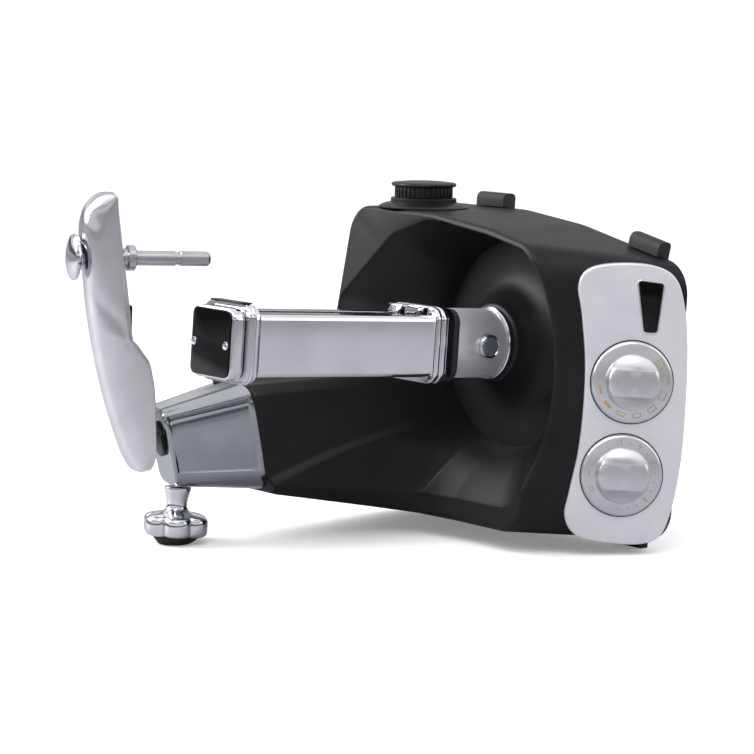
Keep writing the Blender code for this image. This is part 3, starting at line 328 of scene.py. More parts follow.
def soft(low, high, radius, steps=4):
    """Layers of a slab whose two rims are rounded."""
    turns = [math.pi / 2 * k / steps for k in range(steps + 1)]
    arc = [(radius * (1 - math.cos(t)), radius * (1 - math.sin(t))) for t in turns]
    return [(low + up, side) for up, side in arc] + [(high - up, side) for up, side in reversed(arc)]


def rounded(corners, radii, steps=10):
    """Closed polygon with every corner rounded by its own radius."""
    points = []
    for i, corner in enumerate(corners):
        here = Vector(corner)
        back = (Vector(corners[i - 1]) - here).normalized()
        ahead = (Vector(corners[(i + 1) % len(corners)]) - here).normalized()
        half = back.angle(ahead) / 2
        centre = here + (back + ahead).normalized() * (radii[i] / math.sin(half))
        first = here + back * (radii[i] / math.tan(half)) - centre
        last = here + ahead * (radii[i] / math.tan(half)) - centre
        sweep = first.angle_signed(last)
        points += [centre + Matrix.Rotation(-sweep * k / steps, 2) @ first for k in range(steps + 1)]
    return points


def rounded_box(half_x, half_y, radius, steps=10):
    corners = [(half_x, -half_y), (half_x, half_y), (-half_x, half_y), (-half_x, -half_y)]
    return rounded(corners, [radius] * 4, steps)


def curve_through(points, per, closed=True):
    """Catmull-Rom curve through points of any dimension."""
    points = [Vector(point) for point in points]
    count = len(points)
    spans = count if closed else count - 1
    result = []
    for i in range(spans):
        picks = [(i + k - 1) % count if closed else min(max(i + k - 1, 0), count - 1) for k in range(4)]
        p0, p1, p2, p3 = (points[k] for k in picks)
        for k in range(per):
            t = k / per
            result.append(0.5 * (2 * p1 + (p2 - p0) * t + (2 * p0 - 5 * p1 + 4 * p2 - p3) * t * t
                                 + (3 * p1 - p0 - 3 * p2 + p3) * t ** 3))
    return result if closed else result + [points[-1]]


def bevel(obj, width, segments=3, angle=35):
    step = obj.modifiers.new("bevel", "BEVEL")
    step.width = width
    step.segments = segments
    step.limit_method = "ANGLE"
    step.angle_limit = math.radians(angle)
    return obj


def cut(obj, cutter):
    """Cuts one object out of another, and removes the cutter."""
    step = obj.modifiers.new("cut", "BOOLEAN")
    step.operation = "DIFFERENCE"
    step.solver = "EXACT"
    step.object = cutter
    bake(obj)
    bpy.data.objects.remove(cutter)
    return obj


def bake(obj):
    """Turns the modifiers' result into the object's plain mesh."""
    graph = bpy.context.evaluated_depsgraph_get()
    mesh = bpy.data.meshes.new_from_object(obj.evaluated_get(graph))
    obj.modifiers.clear()
    obj.data = mesh
    return obj


def settle(obj, finish, body, slot, *nodes, angle=32):
    """Finishes a piece: plain mesh, material, shading, and its place in the model."""
    bake(obj)
    obj.data.materials.clear()
    obj.data.materials.append(finish)
    obj.data.shade_smooth()
    obj.data.set_sharp_from_angle(angle=math.radians(angle))
    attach(obj, body)
    if nodes:
        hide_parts(*nodes)
    return obj


# ---- repeated things ----------------------------------------------------------------------
def copies_tree():
    """Geometry Nodes: one copy of a thing on every point, turned to face away from the middle."""
    tree = bpy.data.node_groups.new("copies_on_points", "GeometryNodeTree")
    tree.interface.new_socket("Points", in_out="INPUT", socket_type="NodeSocketGeometry")
    tree.interface.new_socket("Thing", in_out="INPUT", socket_type="NodeSocketObject")
    tree.interface.new_socket("Finish", in_out="INPUT", socket_type="NodeSocketMaterial")
    tree.interface.new_socket("Face Outwards", in_out="INPUT", socket_type="NodeSocketFloat")
    tree.interface.new_socket("Copies", in_out="OUTPUT", socket_type="NodeSocketGeometry")
    given = add_node(tree, "NodeGroupInput").outputs
    thing = add_node(tree, "GeometryNodeObjectInfo", {"Object": given["Thing"]})
    place = add_node(tree, "GeometryNodeInputPosition").outputs["Position"]
    facing = add_node(tree, "FunctionNodeAlignRotationToVector",
                      {"Factor": given["Face Outwards"], "Vector": place}, axis="X")
    copies = add_node(tree, "GeometryNodeInstanceOnPoints",
                      {"Points": given["Points"], "Instance": thing.outputs["Geometry"],
                       "Rotation": facing.outputs["Rotation"]})
    solid = add_node(tree, "GeometryNodeRealizeInstances", {"Geometry": copies.outputs["Instances"]})
    dressed = add_node(tree, "GeometryNodeSetMaterial",
                       {"Geometry": solid.outputs["Geometry"], "Material": given["Finish"]})
    add_node(tree, "NodeGroupOutput", {"Copies": dressed.outputs["Geometry"]})
    return tree


COPIES = copies_tree()


def copies(name, thing, spots, finish, place, face_outwards=0.0):
    """Copies of a thing on flat spots of a frame, as one plain mesh. The thing itself is removed."""
    mesh = bpy.data.meshes.new(name)
    mesh.from_pydata([(*spot, 0.0) if len(spot) == 2 else spot for spot in spots], [], [])
    obj = bpy.data.objects.new(name, mesh)
    bpy.context.scene.collection.objects.link(obj)
    step = obj.modifiers.new("copies", "NODES")
    step.node_group = COPIES
    sockets = {item.name: item.identifier for item in COPIES.interface.items_tree
               if item.in_out == "INPUT"}
    step[sockets["Thing"]] = thing
    step[sockets["Finish"]] = finish
    step[sockets["Face Outwards"]] = face_outwards
    bake(obj)
    obj.data.transform(place)
    bpy.data.objects.remove(thing)
    return obj


def on_circle(radius, count):
    """Points spread evenly on a circle."""
    turns = [2 * math.pi * i / count for i in range(count)]
    return [(radius * math.cos(turn), radius * math.sin(turn)) for turn in turns]


# ---- housing ------------------------------------------------------------------------------
def top_fall(y, brow=BROW_Y):
    """How far the upper side has come down at y: gently as far as the brow, then faster."""
    gentle = max(0.0, SHOULDER_Y - max(y, brow)) * SHOULDER_FALL
    return gentle + max(0.0, brow - y) * BROW_FALL


def body_outline(x):
    """Section of the body at height x, as (Y, Z)."""
    front = SLOPE_FOOT_Y + (BASE_X - x) * math.tan(SLOPE)
    top = TOP_Z - (BASE_X - x) * TOP_DRAFT
    bottom = BOTTOM_Z + max(0.0, RIM_X - x) * 0.1
    brow = max(BROW_Y, front + 0.020)
    corners = [(REAR_Y, bottom), (REAR_Y, top), (SHOULDER_Y, top), (brow, top - top_fall(brow, brow)),
               (front, top - top_fall(front, brow)), (front, bottom)]
    return rounded(corners, CORNER_RADII, 16)


def reach(outline, angles):
    """Distance from the drive axis to the outline in every direction."""
    start = np.array([tuple(point) for point in outline])
    end = np.roll(start, -1, axis=0)
    ray = np.stack([np.cos(angles), np.sin(angles)])
    side_a = np.outer(start[:, 1], ray[0]) - np.outer(start[:, 0], ray[1])
    side_b = np.outer(end[:, 1], ray[0]) - np.outer(end[:, 0], ray[1])
    crosses = (side_a * side_b <= 0) & (side_a != side_b)
    share = side_a / np.where(crosses, side_a - side_b, 1.0)
    far = (start @ ray) + share * ((end - start) @ ray)
    return np.where(crosses, far, 0.0).max(axis=0)


RECESS = [(0.112, -0.0475), (0.1035, -0.056), (0.1035, -0.124), (0.095, -0.131), (-0.092, -0.128),
          (-0.092, 0.097), (0.060, 0.099), (0.104, 0.084), (0.161, 0.025), (0.161, -0.048)]
RECESS_RADII = (0.004, 0.006, 0.008, 0.008, 0.035, 0.045, 0.040, 0.030, 0.012, 0.004)
DISH_PATH = [(0.0, 0.0), (0.25, 0.42), (0.5, 0.72), (0.78, 0.92), (1.0, 1.0)]
HUB_PATH = [(FLOOR_X, FLOOR_RADIUS), (FLOOR_X, 0.060), (0.022, 0.046), (0.010, 0.037), (0.0015, HUB_RADIUS)]


def rim_height(degrees, y, z):
    """X of the rim: level at the sides, lower at the control face and high at the tower."""
    dip = np.clip(1 - ((z + 0.020) / 0.095) ** 2, 0, 1) * np.clip(-y / 0.060, 0, 1)
    level = RIM_X + 0.019 * dip - REAR_LEAN * np.clip((0.095 - z) / 0.090, 0, 1) * np.clip(y / 0.120, 0, 1)
    up = np.clip((-1 - degrees) / 14.0, 0, 1) ** 2.5
    down = np.clip((degrees + 74) / 20.0, 0, 1) ** 1.5
    tower = TOWER_X - TOWER_SLANT * (z - TOWER_MID_Z)
    return level + (tower - level) * up * down


def make_housing():
    degrees = np.arange(-180, 180, 0.75)
    angles = np.radians(degrees)
    ray_y, ray_z = np.cos(angles), np.sin(angles)
    heights = np.linspace(-0.190, BASE_X, 60)
    known = np.array([reach(body_outline(x), angles) for x in heights])
    every = np.arange(len(angles))

    def wall(x):
        step = np.clip((x - heights[0]) / (heights[1] - heights[0]), 0, len(heights) - 1.001)
        low = step.astype(int)
        return known[low, every] + (step - low) * (known[low + 1, every] - known[low, every])

    def rim_at(radius):
        return rim_height(degrees, radius * ray_y, radius * ray_z)

    side = wall(np.full(len(angles), RIM_X))
    for _ in range(3):
        rim = rim_at(side)
        side = wall(rim + EDGE)
    rows = []
    for share in np.linspace(0, 1, 18):
        x = BASE_X + share * (rim + EDGE - BASE_X)
        rows.append((x, wall(x)))
    for turn in np.radians((15, 30, 45, 60, 75, 90)):
        radius = side - EDGE * (1 - math.cos(turn))
        rows.append((rim_at(radius) + EDGE * (1 - math.sin(turn)), radius))
    flat = side - EDGE
    lip = np.minimum(flat - 0.0006, reach(rounded(RECESS, RECESS_RADII), angles))
    ledge = np.minimum(flat - lip, 0.0025)
    for share, drop in ((0.9, 0.0), (0.5, 0.0001), (0.2, 0.0004), (0.0, 0.0009)):
        rows.append((rim_at(lip + share * ledge) + drop, lip + share * ledge))
    lip_x = rim_at(lip) + 0.0009
    for depth, inward in curve_through(DISH_PATH, 6, False)[1:]:
        rows.append((lip_x + depth * (FLOOR_X - lip_x), lip + inward * (FLOOR_RADIUS - lip)))
    same = np.ones(len(angles))
    for x, radius in curve_through(HUB_PATH, 7, False)[1:]:
        rows.append((x * same, radius * same))
    rows += [(GAP * same, (HUB_RADIUS - 0.0015) * same), (GAP * same, HUB_BORE * same)]
    rings = [np.stack([x, radius * ray_y, radius * ray_z], axis=1).tolist() for x, radius in rows]
    shell = skin("housing", rings, MACHINE)
    depth = shell.modifiers.new("wall", "SOLIDIFY")
    depth.thickness = WALL
    depth.offset = -1.0
    settle(shell, POWDER_COAT, "machine", "black_paint", "housing_shell", angle=48)
    return shell


def make_base():
    """Screw heads and rows of low louvres on the base plate."""
    screw = lathe("screw", [(0.0, 0.0), (0.0, 0.0042), (0.0008, 0.0040), (0.0018, 0.0024), (0.0020, 0.0)],
                  ORIGIN_FRAME, 24)
    spots = [(0.140, 0.085), (0.140, -0.124), (-0.122, 0.048), (-0.122, -0.122)]
    screws = copies("base_screws", screw, spots, GROUND_STEEL, machine((BASE_X - 0.0005, 0, 0), ALONG_X))
    settle(screws, GROUND_STEEL, "machine", "bright_steel")
    louvre = slab("louvre", rounded_box(0.022, 0.0016, 0.0015, 5), soft(0.0, 0.0009, 0.0004, 2), ORIGIN_FRAME)
    rows = [(y, -0.020 + 0.0065 * i) for y in (0.105, -0.060) for i in range(9)]
    louvres = copies("base_louvres", louvre, rows, ZINC_SHEET, machine((BASE_X - 0.0005, 0, 0), ALONG_X))
    settle(louvres, ZINC_SHEET, "machine", "grey_steel")


def make_feet():
    """Four corner feet: the lower two stand on the table, the upper two are tabs."""
    inner, outer, grip = BASE_X + GAP, BASE_X + SOLE, 0.030
    start, half, heel = FOOT_START, FOOT_WIDTH / 2, FOOT_START + 0.006
    low = BOTTOM_Z - GAP
    lower = [(start, low), (inner, low), (inner, BOTTOM_Z + grip), (outer, BOTTOM_Z + grip),
             (outer, table_at(outer)), (heel, table_at(heel)), (start, BOTTOM_Z - 0.003)]
    upper = rounded([(start, GAP), (start, FOOT_RISE), (outer, FOOT_RISE), (outer, -grip),
                     (inner, -grip), (inner, GAP)], [0.0002, 0.006, 0.004, 0.001, 0.0001, 0.0001], 6)
    for name, y in (("foot_front_lower", FRONT_FOOT_Y), ("foot_rear_lower", REAR_FOOT_Y)):
        foot = slab(name + "_rubber", lower, [(-half, 0), (half, 0)], machine((0, y, 0), ALONG_Y))
        settle(bevel(foot, 0.0007, 2), RUBBER, "machine", "rubber", name)
    for name, y in (("foot_front_upper", FRONT_FOOT_Y), ("foot_rear_upper", REAR_FOOT_Y)):
        fall = BROW_FALL if y < BROW_Y else 0.0
        lean = Matrix.Rotation(math.atan(fall), 4, "X") @ ALONG_Y
        place = machine((0, y, TOP_Z - top_fall(y)), lean)
        foot = slab(name + "_rubber", upper, [(-half, 0), (half, 0)], place)
        settle(bevel(foot, 0.0045, 5, 60), RUBBER, "machine", "rubber", name, angle=50)


# ---- control face -------------------------------------------------------------------------
PANEL_OUTLINE = [(-0.058, 0.0775), (-0.082, 0.072), (-0.0905, 0.058), (-0.086, 0.034), (-0.0805, -0.005),
                 (-0.0795, -0.045), (-0.0815, -0.080), (-0.0865, -0.112), (-0.0885, -0.132),
                 (-0.078, -0.147), (-0.055, -0.1515), (-0.025, -0.1515), (-0.008, -0.143),
                 (0.000, -0.118), (0.0045, -0.080), (0.005, -0.040), (0.0035, 0.005), (-0.001, 0.042),
                 (-0.010, 0.067), (-0.028, 0.077)]
BADGE_OUTLINE = [(-0.0435, 0.066), (-0.0195, 0.064), (-0.0225, 0.0215), (-0.0355, 0.0215)]


def make_panel(shell):
    """Silver face plate whose skirt follows the housing under it."""
    loop = anticlockwise([tuple(point) for point in curve_through(PANEL_OUTLINE, 8)])
    tree = BVHTree.FromPolygons([vertex.co for vertex in shell.data.vertices],
                                [list(face.vertices) for face in shell.data.polygons])
    inward = -PANEL.col[2].xyz
    depths = []
    for u, v in loop:
        hit = tree.ray_cast(PANEL @ Vector((u, v, 0.020)), inward, 0.030)[0]
        depths.append(-0.010 if hit is None else max(-0.010, (PANEL.inverted() @ hit).z - 0.0015))
    rows = [[(*point, depth) for point, depth in zip(loop, depths)]]
    edge = 0.0018
    for turn in np.radians((0, 18, 36, 54, 72, 90)):
        moved = inset(loop, edge * (1 - math.cos(turn)))
        rows.append([(*point, PANEL_TOP - edge * (1 - math.sin(turn))) for point in moved])
    plate = skin("face_plate", rows, PANEL, True, True)
    settle(plate, SILVER_LACQUER, "machine", "silver_paint", "control_panel")


def make_badge():
    outline = rounded(BADGE_OUTLINE, [0.004] * 4, 8)
    rim = slab("badge_rim", outline, soft(PANEL_TOP - 0.001, PANEL_TOP + 0.0009, 0.0006), PANEL)
    settle(rim, CHROME, "machine", "chrome")
    face = slab("badge_face", inset(anticlockwise(outline), 0.0011),
                soft(PANEL_TOP, PANEL_TOP + 0.0012, 0.0004), PANEL)
    settle(face, ACRYLIC, "machine", "black_gloss", "badge_plate")


def dial(name, centre):
    """Metallised dial: flat ring, and a round grip with a bar left between two scoops."""
    place = PANEL @ Matrix.Translation((centre.x, centre.y, PANEL_TOP + GAP))
    profile = [(0.016, 0.0), (0.0157, 0.012), (0.0150, 0.0185), (0.0138, 0.0208), (0.0120, 0.0217),
               (0.0050, 0.0224), (0.0042, 0.0228), (0.0040, 0.0236), (0.0036, DIAL_RADIUS - 0.0020),
               (0.0030, DIAL_RADIUS - 0.0008), (0.0018, DIAL_RADIUS), (0.0, DIAL_RADIUS), (0.0, 0.003),
               (-0.020, 0.003), (-0.020, 0.0)]
    knob = lathe(name + "_metallised", profile, place)
    for side in (-1, 1):
        scoop = lathe("scoop", [(-0.030, 0.0), (-0.030, 0.0165), (0.030, 0.0165), (0.030, 0.0)],
                      place @ Matrix.Translation((0, side * 0.0258, 0.0222)) @ ALONG_X, 72)
        cut(knob, scoop)
    settle(bevel(knob, 0.0004, 2, 40), METALLISED, name, "silver_paint", name, angle=40)
    seam = lathe(name + "_seam", [(PANEL_TOP - 0.0004, DIAL_RADIUS + 0.0002),
                                  (PANEL_TOP - 0.0004, DIAL_RADIUS + 0.0011),
                                  (PANEL_TOP + 0.00015, DIAL_RADIUS + 0.0011),
                                  (PANEL_TOP + 0.00015, DIAL_RADIUS + 0.0002)],
                 PANEL @ Matrix.Translation((centre.x, centre.y, 0)))
    settle(seam, SATIN_ABS, "machine", "black_plastic")
    return place


def ink(name, obj, place, body):
    """Prints marks made flat at the origin on a dial."""
    obj.data.transform(place)
    obj.name = name
    settle(obj, GOLD_INK, body, "silver_paint")


def bar_mark(half, corner, at, window=None):
    """Thin printed bar, or the frame of one when the corner of its window is given."""
    bar = slab("bar", rounded_box(*half, corner, 3), [(-0.0002, 0), (INK, 0)], at)
    if window:
        opening = rounded_box(half[0] - 0.0006, half[1] - 0.0006, window, 2)
        cut(bar, slab("window", opening, [(-0.001, 0), (0.001, 0)], at))
    return bar


def make_dials():
    top = 0.0039        # the flat ring's height, where the marks are printed
    ring = 0.0272       # and their distance from the dial's centre
    place = dial("speed_dial", SPEED_DIAL)
    marks = []
    for i, degrees in enumerate((-165, -136, -108, -79, -50, -21, 8, 37)):
        at = Matrix.Rotation(math.radians(degrees), 4, "Z") @ Matrix.Translation((ring, 0, top))
        half = (0.0009 + 0.00035 * i, 0.0037)
        marks.append(bar_mark(half, 0.0004, at, 0.0001 if i > 1 else None))
    ink("speed_marks", join_all("speed_marks", marks), place, "speed_dial")
    place = dial("timer_dial", TIMER_DIAL)
    dot = lathe("dot", [(-0.0002, 0.0), (-0.0002, 0.0006), (INK, 0.0006), (INK, 0.0)], ORIGIN_FRAME, 16)
    turns = [math.radians(degrees) for degrees in (80, 44, 8, -8, -25, -60, -77, -94)]
    spots = [(ring * math.cos(turn), ring * math.sin(turn), top) for turn in turns]
    ink("timer_dots", copies("timer_dots", dot, spots, GOLD_INK, Matrix.Identity(4)), place, "timer_dial")
    numbers = []
    for text, degrees in (("12", 99), ("9", 62), ("6", 26), ("3", -42)):
        curve = bpy.data.curves.new("number", "FONT")
        curve.body = text
        curve.size = 0.0062
        curve.align_x = curve.align_y = "CENTER"
        curve.extrude = INK
        number = bpy.data.objects.new("number", curve)
        bpy.context.scene.collection.objects.link(number)
        graph = bpy.context.evaluated_depsgraph_get()
        mesh = bpy.data.meshes.new_from_object(number.evaluated_get(graph))
        bpy.data.objects.remove(number)
        turn = Matrix.Rotation(math.radians(degrees - 90), 4, "Z")
        mesh.transform(turn @ Matrix.Translation((0, ring, top)))
        number = bpy.data.objects.new("number", mesh)
        bpy.context.scene.collection.objects.link(number)
        numbers.append(number)
    ink("timer_numbers", join_all("timer_numbers", numbers), place, "timer_dial")
    bars = []
    for degrees, half in ((178, (0.0007, 0.0024)), (-154, (0.0016, 0.0024))):
        at = Matrix.Rotation(math.radians(degrees), 4, "Z") @ Matrix.Translation((ring, 0, top))
        bars.append(bar_mark(half, 0.0006, at, 0.0003 if half[0] > 0.001 else None))
    ink("timer_switch_marks", join_all("timer_switch_marks", bars), place, "timer_dial")


def join_all(name, objects):
    """One object from the meshes of several."""
    bm = bmesh.new()
    for obj in objects:
        bm.from_mesh(obj.data)
        bpy.data.objects.remove(obj)
    mesh = bpy.data.meshes.new(name)
    bm.to_mesh(mesh)
    bm.free()
    obj = bpy.data.objects.new(name, mesh)
    bpy.context.scene.collection.objects.link(obj)
    return obj


# ---- hub, sleeve and lock -----------------------------------------------------------------
def make_sleeve():
    """Sleeve on the hub with a bright ring at its foot and the lock button in its side."""
    sleeve = lathe("sleeve", [(SLEEVE_END, 0.0150), (SLEEVE_END, SLEEVE_RADIUS - 0.0008),
                              (SLEEVE_END + 0.0008, SLEEVE_RADIUS), (-0.0052, SLEEVE_RADIUS),
                              (-0.0048, SLEEVE_RADIUS - 0.0004), (-0.0044, SLEEVE_RADIUS - 0.0004),
                              (-0.0044, 0.0260), (-0.0004, 0.0260), (-0.0004, 0.024),
                              (SLEEVE_END + 0.004, 0.024), (SLEEVE_END + 0.004, 0.0150)],
                   machine(turn=ALONG_X), 128)
    lock = machine((LOCK_X, 0, 0), ALONG_Y)
    cut(sleeve, lathe("lock_hole", [(0.018, 0.0), (0.018, 0.0102), (0.036, 0.0102), (0.036, 0.0)], lock, 64))
    settle(bevel(sleeve, 0.0003, 2, 40), TURNED_ALLOY, "machine", "cast_alloy", "adapter_sleeve", angle=40)
    ring = lathe("hub_ring", [(-0.0044, 0.0262), (-0.0044, 0.0300), (-0.0038, 0.0308), (-0.0006, 0.0308),
                              (0.0, 0.0302), (0.0, 0.0262)], machine(turn=ALONG_X), 128)
    settle(ring, CHROME, "machine", "chrome")
    bezel = lathe("lock_ring", [(0.0245, 0.0082), (0.0245, 0.0099), (0.0312, 0.0099), (0.0321, 0.0096),
                                (0.0325, 0.0090), (0.0325, 0.0086), (0.0321, 0.0082)], lock, 64)
    settle(bezel, CHROME, "machine", "chrome", "lock_bezel")
    button = lathe("lock_push", [(0.0175, 0), (0.0175, 0.0079), (0.0321, 0.0079), (0.0326, 0.0074),
                                 (0.0327, 0.0050), (0.0327, 0.0)], lock, 64)
    settle(button, BLUED_STEEL, "lock_button", "dark_steel", "lock_button")


# ---- noodle cutter ------------------------------------------------------------------------
def ridges(*heights, depth=0.0007):
    """Layers of a flange with a rounded ridge between each two heights and a groove between ridges."""
    layers = []
    for low, high in zip(heights, heights[1:]):
        layers += [(low, depth), (low + 0.0004, depth), (low + 0.0009, 0.0002), (low + 0.0016, 0.0),
                   (high - 0.0016, 0.0), (high - 0.0009, 0.0002), (high - 0.0004, depth)]
    return layers + [(heights[-1], depth)]


def cover_outline(side):
    """Bent sheet: upright wall with a lip above and below, seen along the box."""
    y, lip_top, lip_low = BOX_HALF_Y, 0.0095, 0.0150
    outer = [(-lip_top, BOX_TOP), (-y, BOX_TOP), (-y, BOX_BOTTOM), (-lip_low, BOX_BOTTOM),
             (-lip_low, BOX_BOTTOM + SHEET), (-y + SHEET, BOX_BOTTOM + SHEET),
             (-y + SHEET, BOX_TOP - SHEET), (-lip_top, BOX_TOP - SHEET)]
    radii = [0.0003, 0.005, 0.005, 0.0003, 0.0003, 0.005 - SHEET, 0.005 - SHEET, 0.0003]
    return rounded([(-side * a, b) for a, b in outer][::-side], radii[::-side], 12)


def make_covers():
    low, high = CUT_LEFT + GAP, CUT_RIGHT - GAP
    for name, side in (("front_cover", -1), ("rear_cover", 1)):
        cover = slab(name + "_sheet", cover_outline(side), [(low, 0.0), (high, 0.0)], machine(turn=ALONG_X))
        settle(cover, CHROME, "machine", "chrome", name)
    top = BOX_TOP + 0.0078
    guide = [(-0.1005, BOX_TOP - 0.004), (-0.1005 + SHEET, BOX_TOP - 0.004),
             (-0.1005 + SHEET, top - SHEET - 0.001), (high, BOX_TOP + 0.0055 - SHEET),
             (high, BOX_TOP + 0.0055), (-0.1035, top), (-0.1045, top - SHEET),
             (-0.1005, top - SHEET - 0.001)]
    bent = slab("feed_guide_sheet", guide, [(-0.0085, 0.0), (0.0085, 0.0)], machine(turn=ALONG_Y))
    settle(bevel(bent, 0.0003, 2), CHROME, "machine", "chrome", "feed_guide")


def make_flanges():
    along = machine(turn=ALONG_X)
    wide = FLANGE_HALF + 0.0013
    outline = rounded_box(wide, wide, 0.011)
    room = rounded_box(wide - 0.003, wide - 0.003, 0.008)
    left, right = CUT_RIGHT + 0.0033, -0.0643
    case = slab("gear_case_pressing", outline, ridges(left, left + 0.0060, left + 0.0122)
                + [(left + 0.0126, 0.0012), (right - 0.0020, 0.0014), (right - 0.0006, 0.0020),
                   (right, 0.0034)], along)
    cut(case, slab("room", room, [(-0.100, 0), (-0.067, 0)], along))
    cut(case, lathe("bore", [(-0.075, 0), (-0.075, 0.004), (-0.060, 0.004), (-0.060, 0)], along, 32))
    settle(case, CHROME, "machine", "chrome", "gear_case")
    gasket = slab("cutter_seal", rounded_box(FLANGE_HALF - 0.0005, FLANGE_HALF - 0.0005, 0.012),
                  soft(-0.064, SLEEVE_END - GAP, 0.0012), along)
    settle(gasket, RUBBER, "machine", "rubber", "cutter_gasket")
    low, high = CUT_LEFT - 0.0105, CUT_LEFT - 0.0033
    flange = slab("left_ring", outline, ridges(low, (low + high) / 2, high), along)
    cut(flange, slab("window", rounded_box(0.024, 0.024, 0.008), [(low - 0.01, 0), (high + 0.01, 0)], along))
    settle(flange, CHROME, "machine", "chrome", "left_flange")


def make_end_cap():
    """Pressed cap with its gloss plate, two screws and the dark clip on top."""
    along = machine(turn=ALONG_X)
    high = CUT_LEFT - 0.0108
    low = high - 0.0125
    cap = slab("end_cap_pressing", rounded_box(0.0275, 0.0285, 0.010), soft(low, high, 0.0022), along)
    cut(cap, slab("room", rounded_box(0.0253, 0.0263, 0.008), [(low + 0.0022, 0), (high + 0.01, 0)], along))
    settle(cap, CHROME, "machine", "chrome", "left_end_cap")
    plate = slab("end_plate_gloss", rounded_box(0.0255, 0.0265, 0.006),
                 soft(low - 0.0015, low - GAP, 0.0005), along)
    settle(plate, ACRYLIC, "machine", "black_gloss", "end_plate")
    face = low - 0.0018
    for name, y in (("end_screw_front", -0.0215), ("end_screw_rear", 0.0215)):
        profile = [(0.0006, 0.0), (0.0006, 0.0033), (-0.0004, 0.0033), (-0.0010, 0.0028),
                   (-0.0011, 0.0019), (-0.0004, 0.0016), (-0.0004, 0.0)]
        head = lathe(name + "_head", [(face + along, radius) for along, radius in profile],
                     machine((0, y, -0.001), ALONG_X), 32)
        settle(head, CHROME, "machine", "bright_steel", name)
    strip = rounded([(CUT_LEFT - 0.0130, 0.0316), (CUT_LEFT - 0.0020, 0.0316), (CUT_LEFT - 0.0020, 0.0329),
                     (CUT_LEFT - 0.0130, 0.0333)], [0.0004] * 4, 3)
    clip = slab("top_clip", strip, soft(-0.020, 0.0225, 0.0008, 2), machine(turn=ALONG_Y))
    settle(clip, SATIN_ABS, "machine", "black_plastic")


def roll_profile(first, shaft_end):
    """One roll: discs on every second place, from the left bearing plate to its gears."""
    disc, play = ROLL_SPACING / 2 + 0.0015, 0.0004
    core = ROLL_SPACING - disc - play
    start, end = CUT_LEFT + 0.002, CUT_RIGHT - 0.002
    pitch = (end - start) / DISC_COUNT
    points = [(CUT_LEFT - 0.006, 0), (CUT_LEFT - 0.006, 0.004), (start - 0.0008, 0.004),
              (start - 0.0008, core)]
    for i in range(first, DISC_COUNT, 2):
        low, high = start + i * pitch + play / 2, start + (i + 1) * pitch - play / 2
        points += [(low, core), (low, disc - 0.0002), (low + 0.0002, disc), (high - 0.0002, disc),
                   (high, disc - 0.0002), (high, core)]
    return points + [(end + 0.0008, core), (end + 0.0008, 0.004), (shaft_end, 0.004), (shaft_end, 0)]


def make_rolls():
    """Two cutting rolls whose discs stand in each other's gaps."""
    for name, side, first, end in (("front", -1, 0, -0.0672), ("rear", 1, 1, -0.0757)):
        roll = lathe(name + "_roll_steel", roll_profile(first, end),
                     machine((0, side * ROLL_SPACING / 2, ROLL_Z), ALONG_X), 64)
        settle(roll, GROUND_STEEL, name + "_roll", "bright_steel", name + "_cutting_roll")


# ---- accessory port -----------------------------------------------------------------------
def make_port():
    collar = lathe("port_ring", [(0.0003, 0.0245), (0.0003, PORT_RADIUS), (0.0009, PORT_RADIUS + 0.0001),
                                 (0.0022, PORT_RADIUS - 0.0018), (0.0036, 0.0340), (0.0044, 0.0308),
                                 (0.0046, 0.0290), (0.0050, 0.0285), (0.0079, 0.0285), (0.0085, 0.0279),
                                 (0.0085, 0.0245)], PORT)
    settle(collar, SATIN_ABS, "machine", "black_plastic", "port_collar", angle=40)
    cap = lathe("port_lid", [(-0.004, 0.0), (-0.004, 0.0225), (0.0088, 0.0225), (0.0088, 0.0240),
                             (0.0180, 0.0246), (0.0184, 0.0270), (0.0190, 0.0279), (0.0200, 0.0282),
                             (0.0209, 0.0279), (0.0215, 0.0270), (0.0224, 0.0190), (0.0230, 0.0090),
                             (0.0232, 0.0)], PORT)
    settle(cap, SATIN_ABS, "port_cap", "black_plastic", "port_cap", angle=40)
    flute = slab("flute", rounded_box(0.0009, 0.0013, 0.0006, 3), soft(0.0094, 0.0183, 0.0004, 2),
                 ORIGIN_FRAME)
    ring = copies("port_lid_flutes", flute, on_circle(0.0243, 36), SATIN_ABS, PORT, 1.0)
    settle(ring, SATIN_ABS, "port_cap", "black_plastic")


# ---- tower and arm ------------------------------------------------------------------------
def squircle(count, power):
    points = []
    for i in range(count):
        angle = 2 * math.pi * i / count
        c, s = math.cos(angle), math.sin(angle)
        size = (abs(c) ** power + abs(s) ** power) ** (-1 / power)
        points.append((c * size, s * size))
    return points


def ramp(value, low, high):
    """Smooth rise from 0 to 1 between two values."""
    t = min(1.0, max(0.0, (value - low) / (high - low)))
    return t * t * (3 - 2 * t)


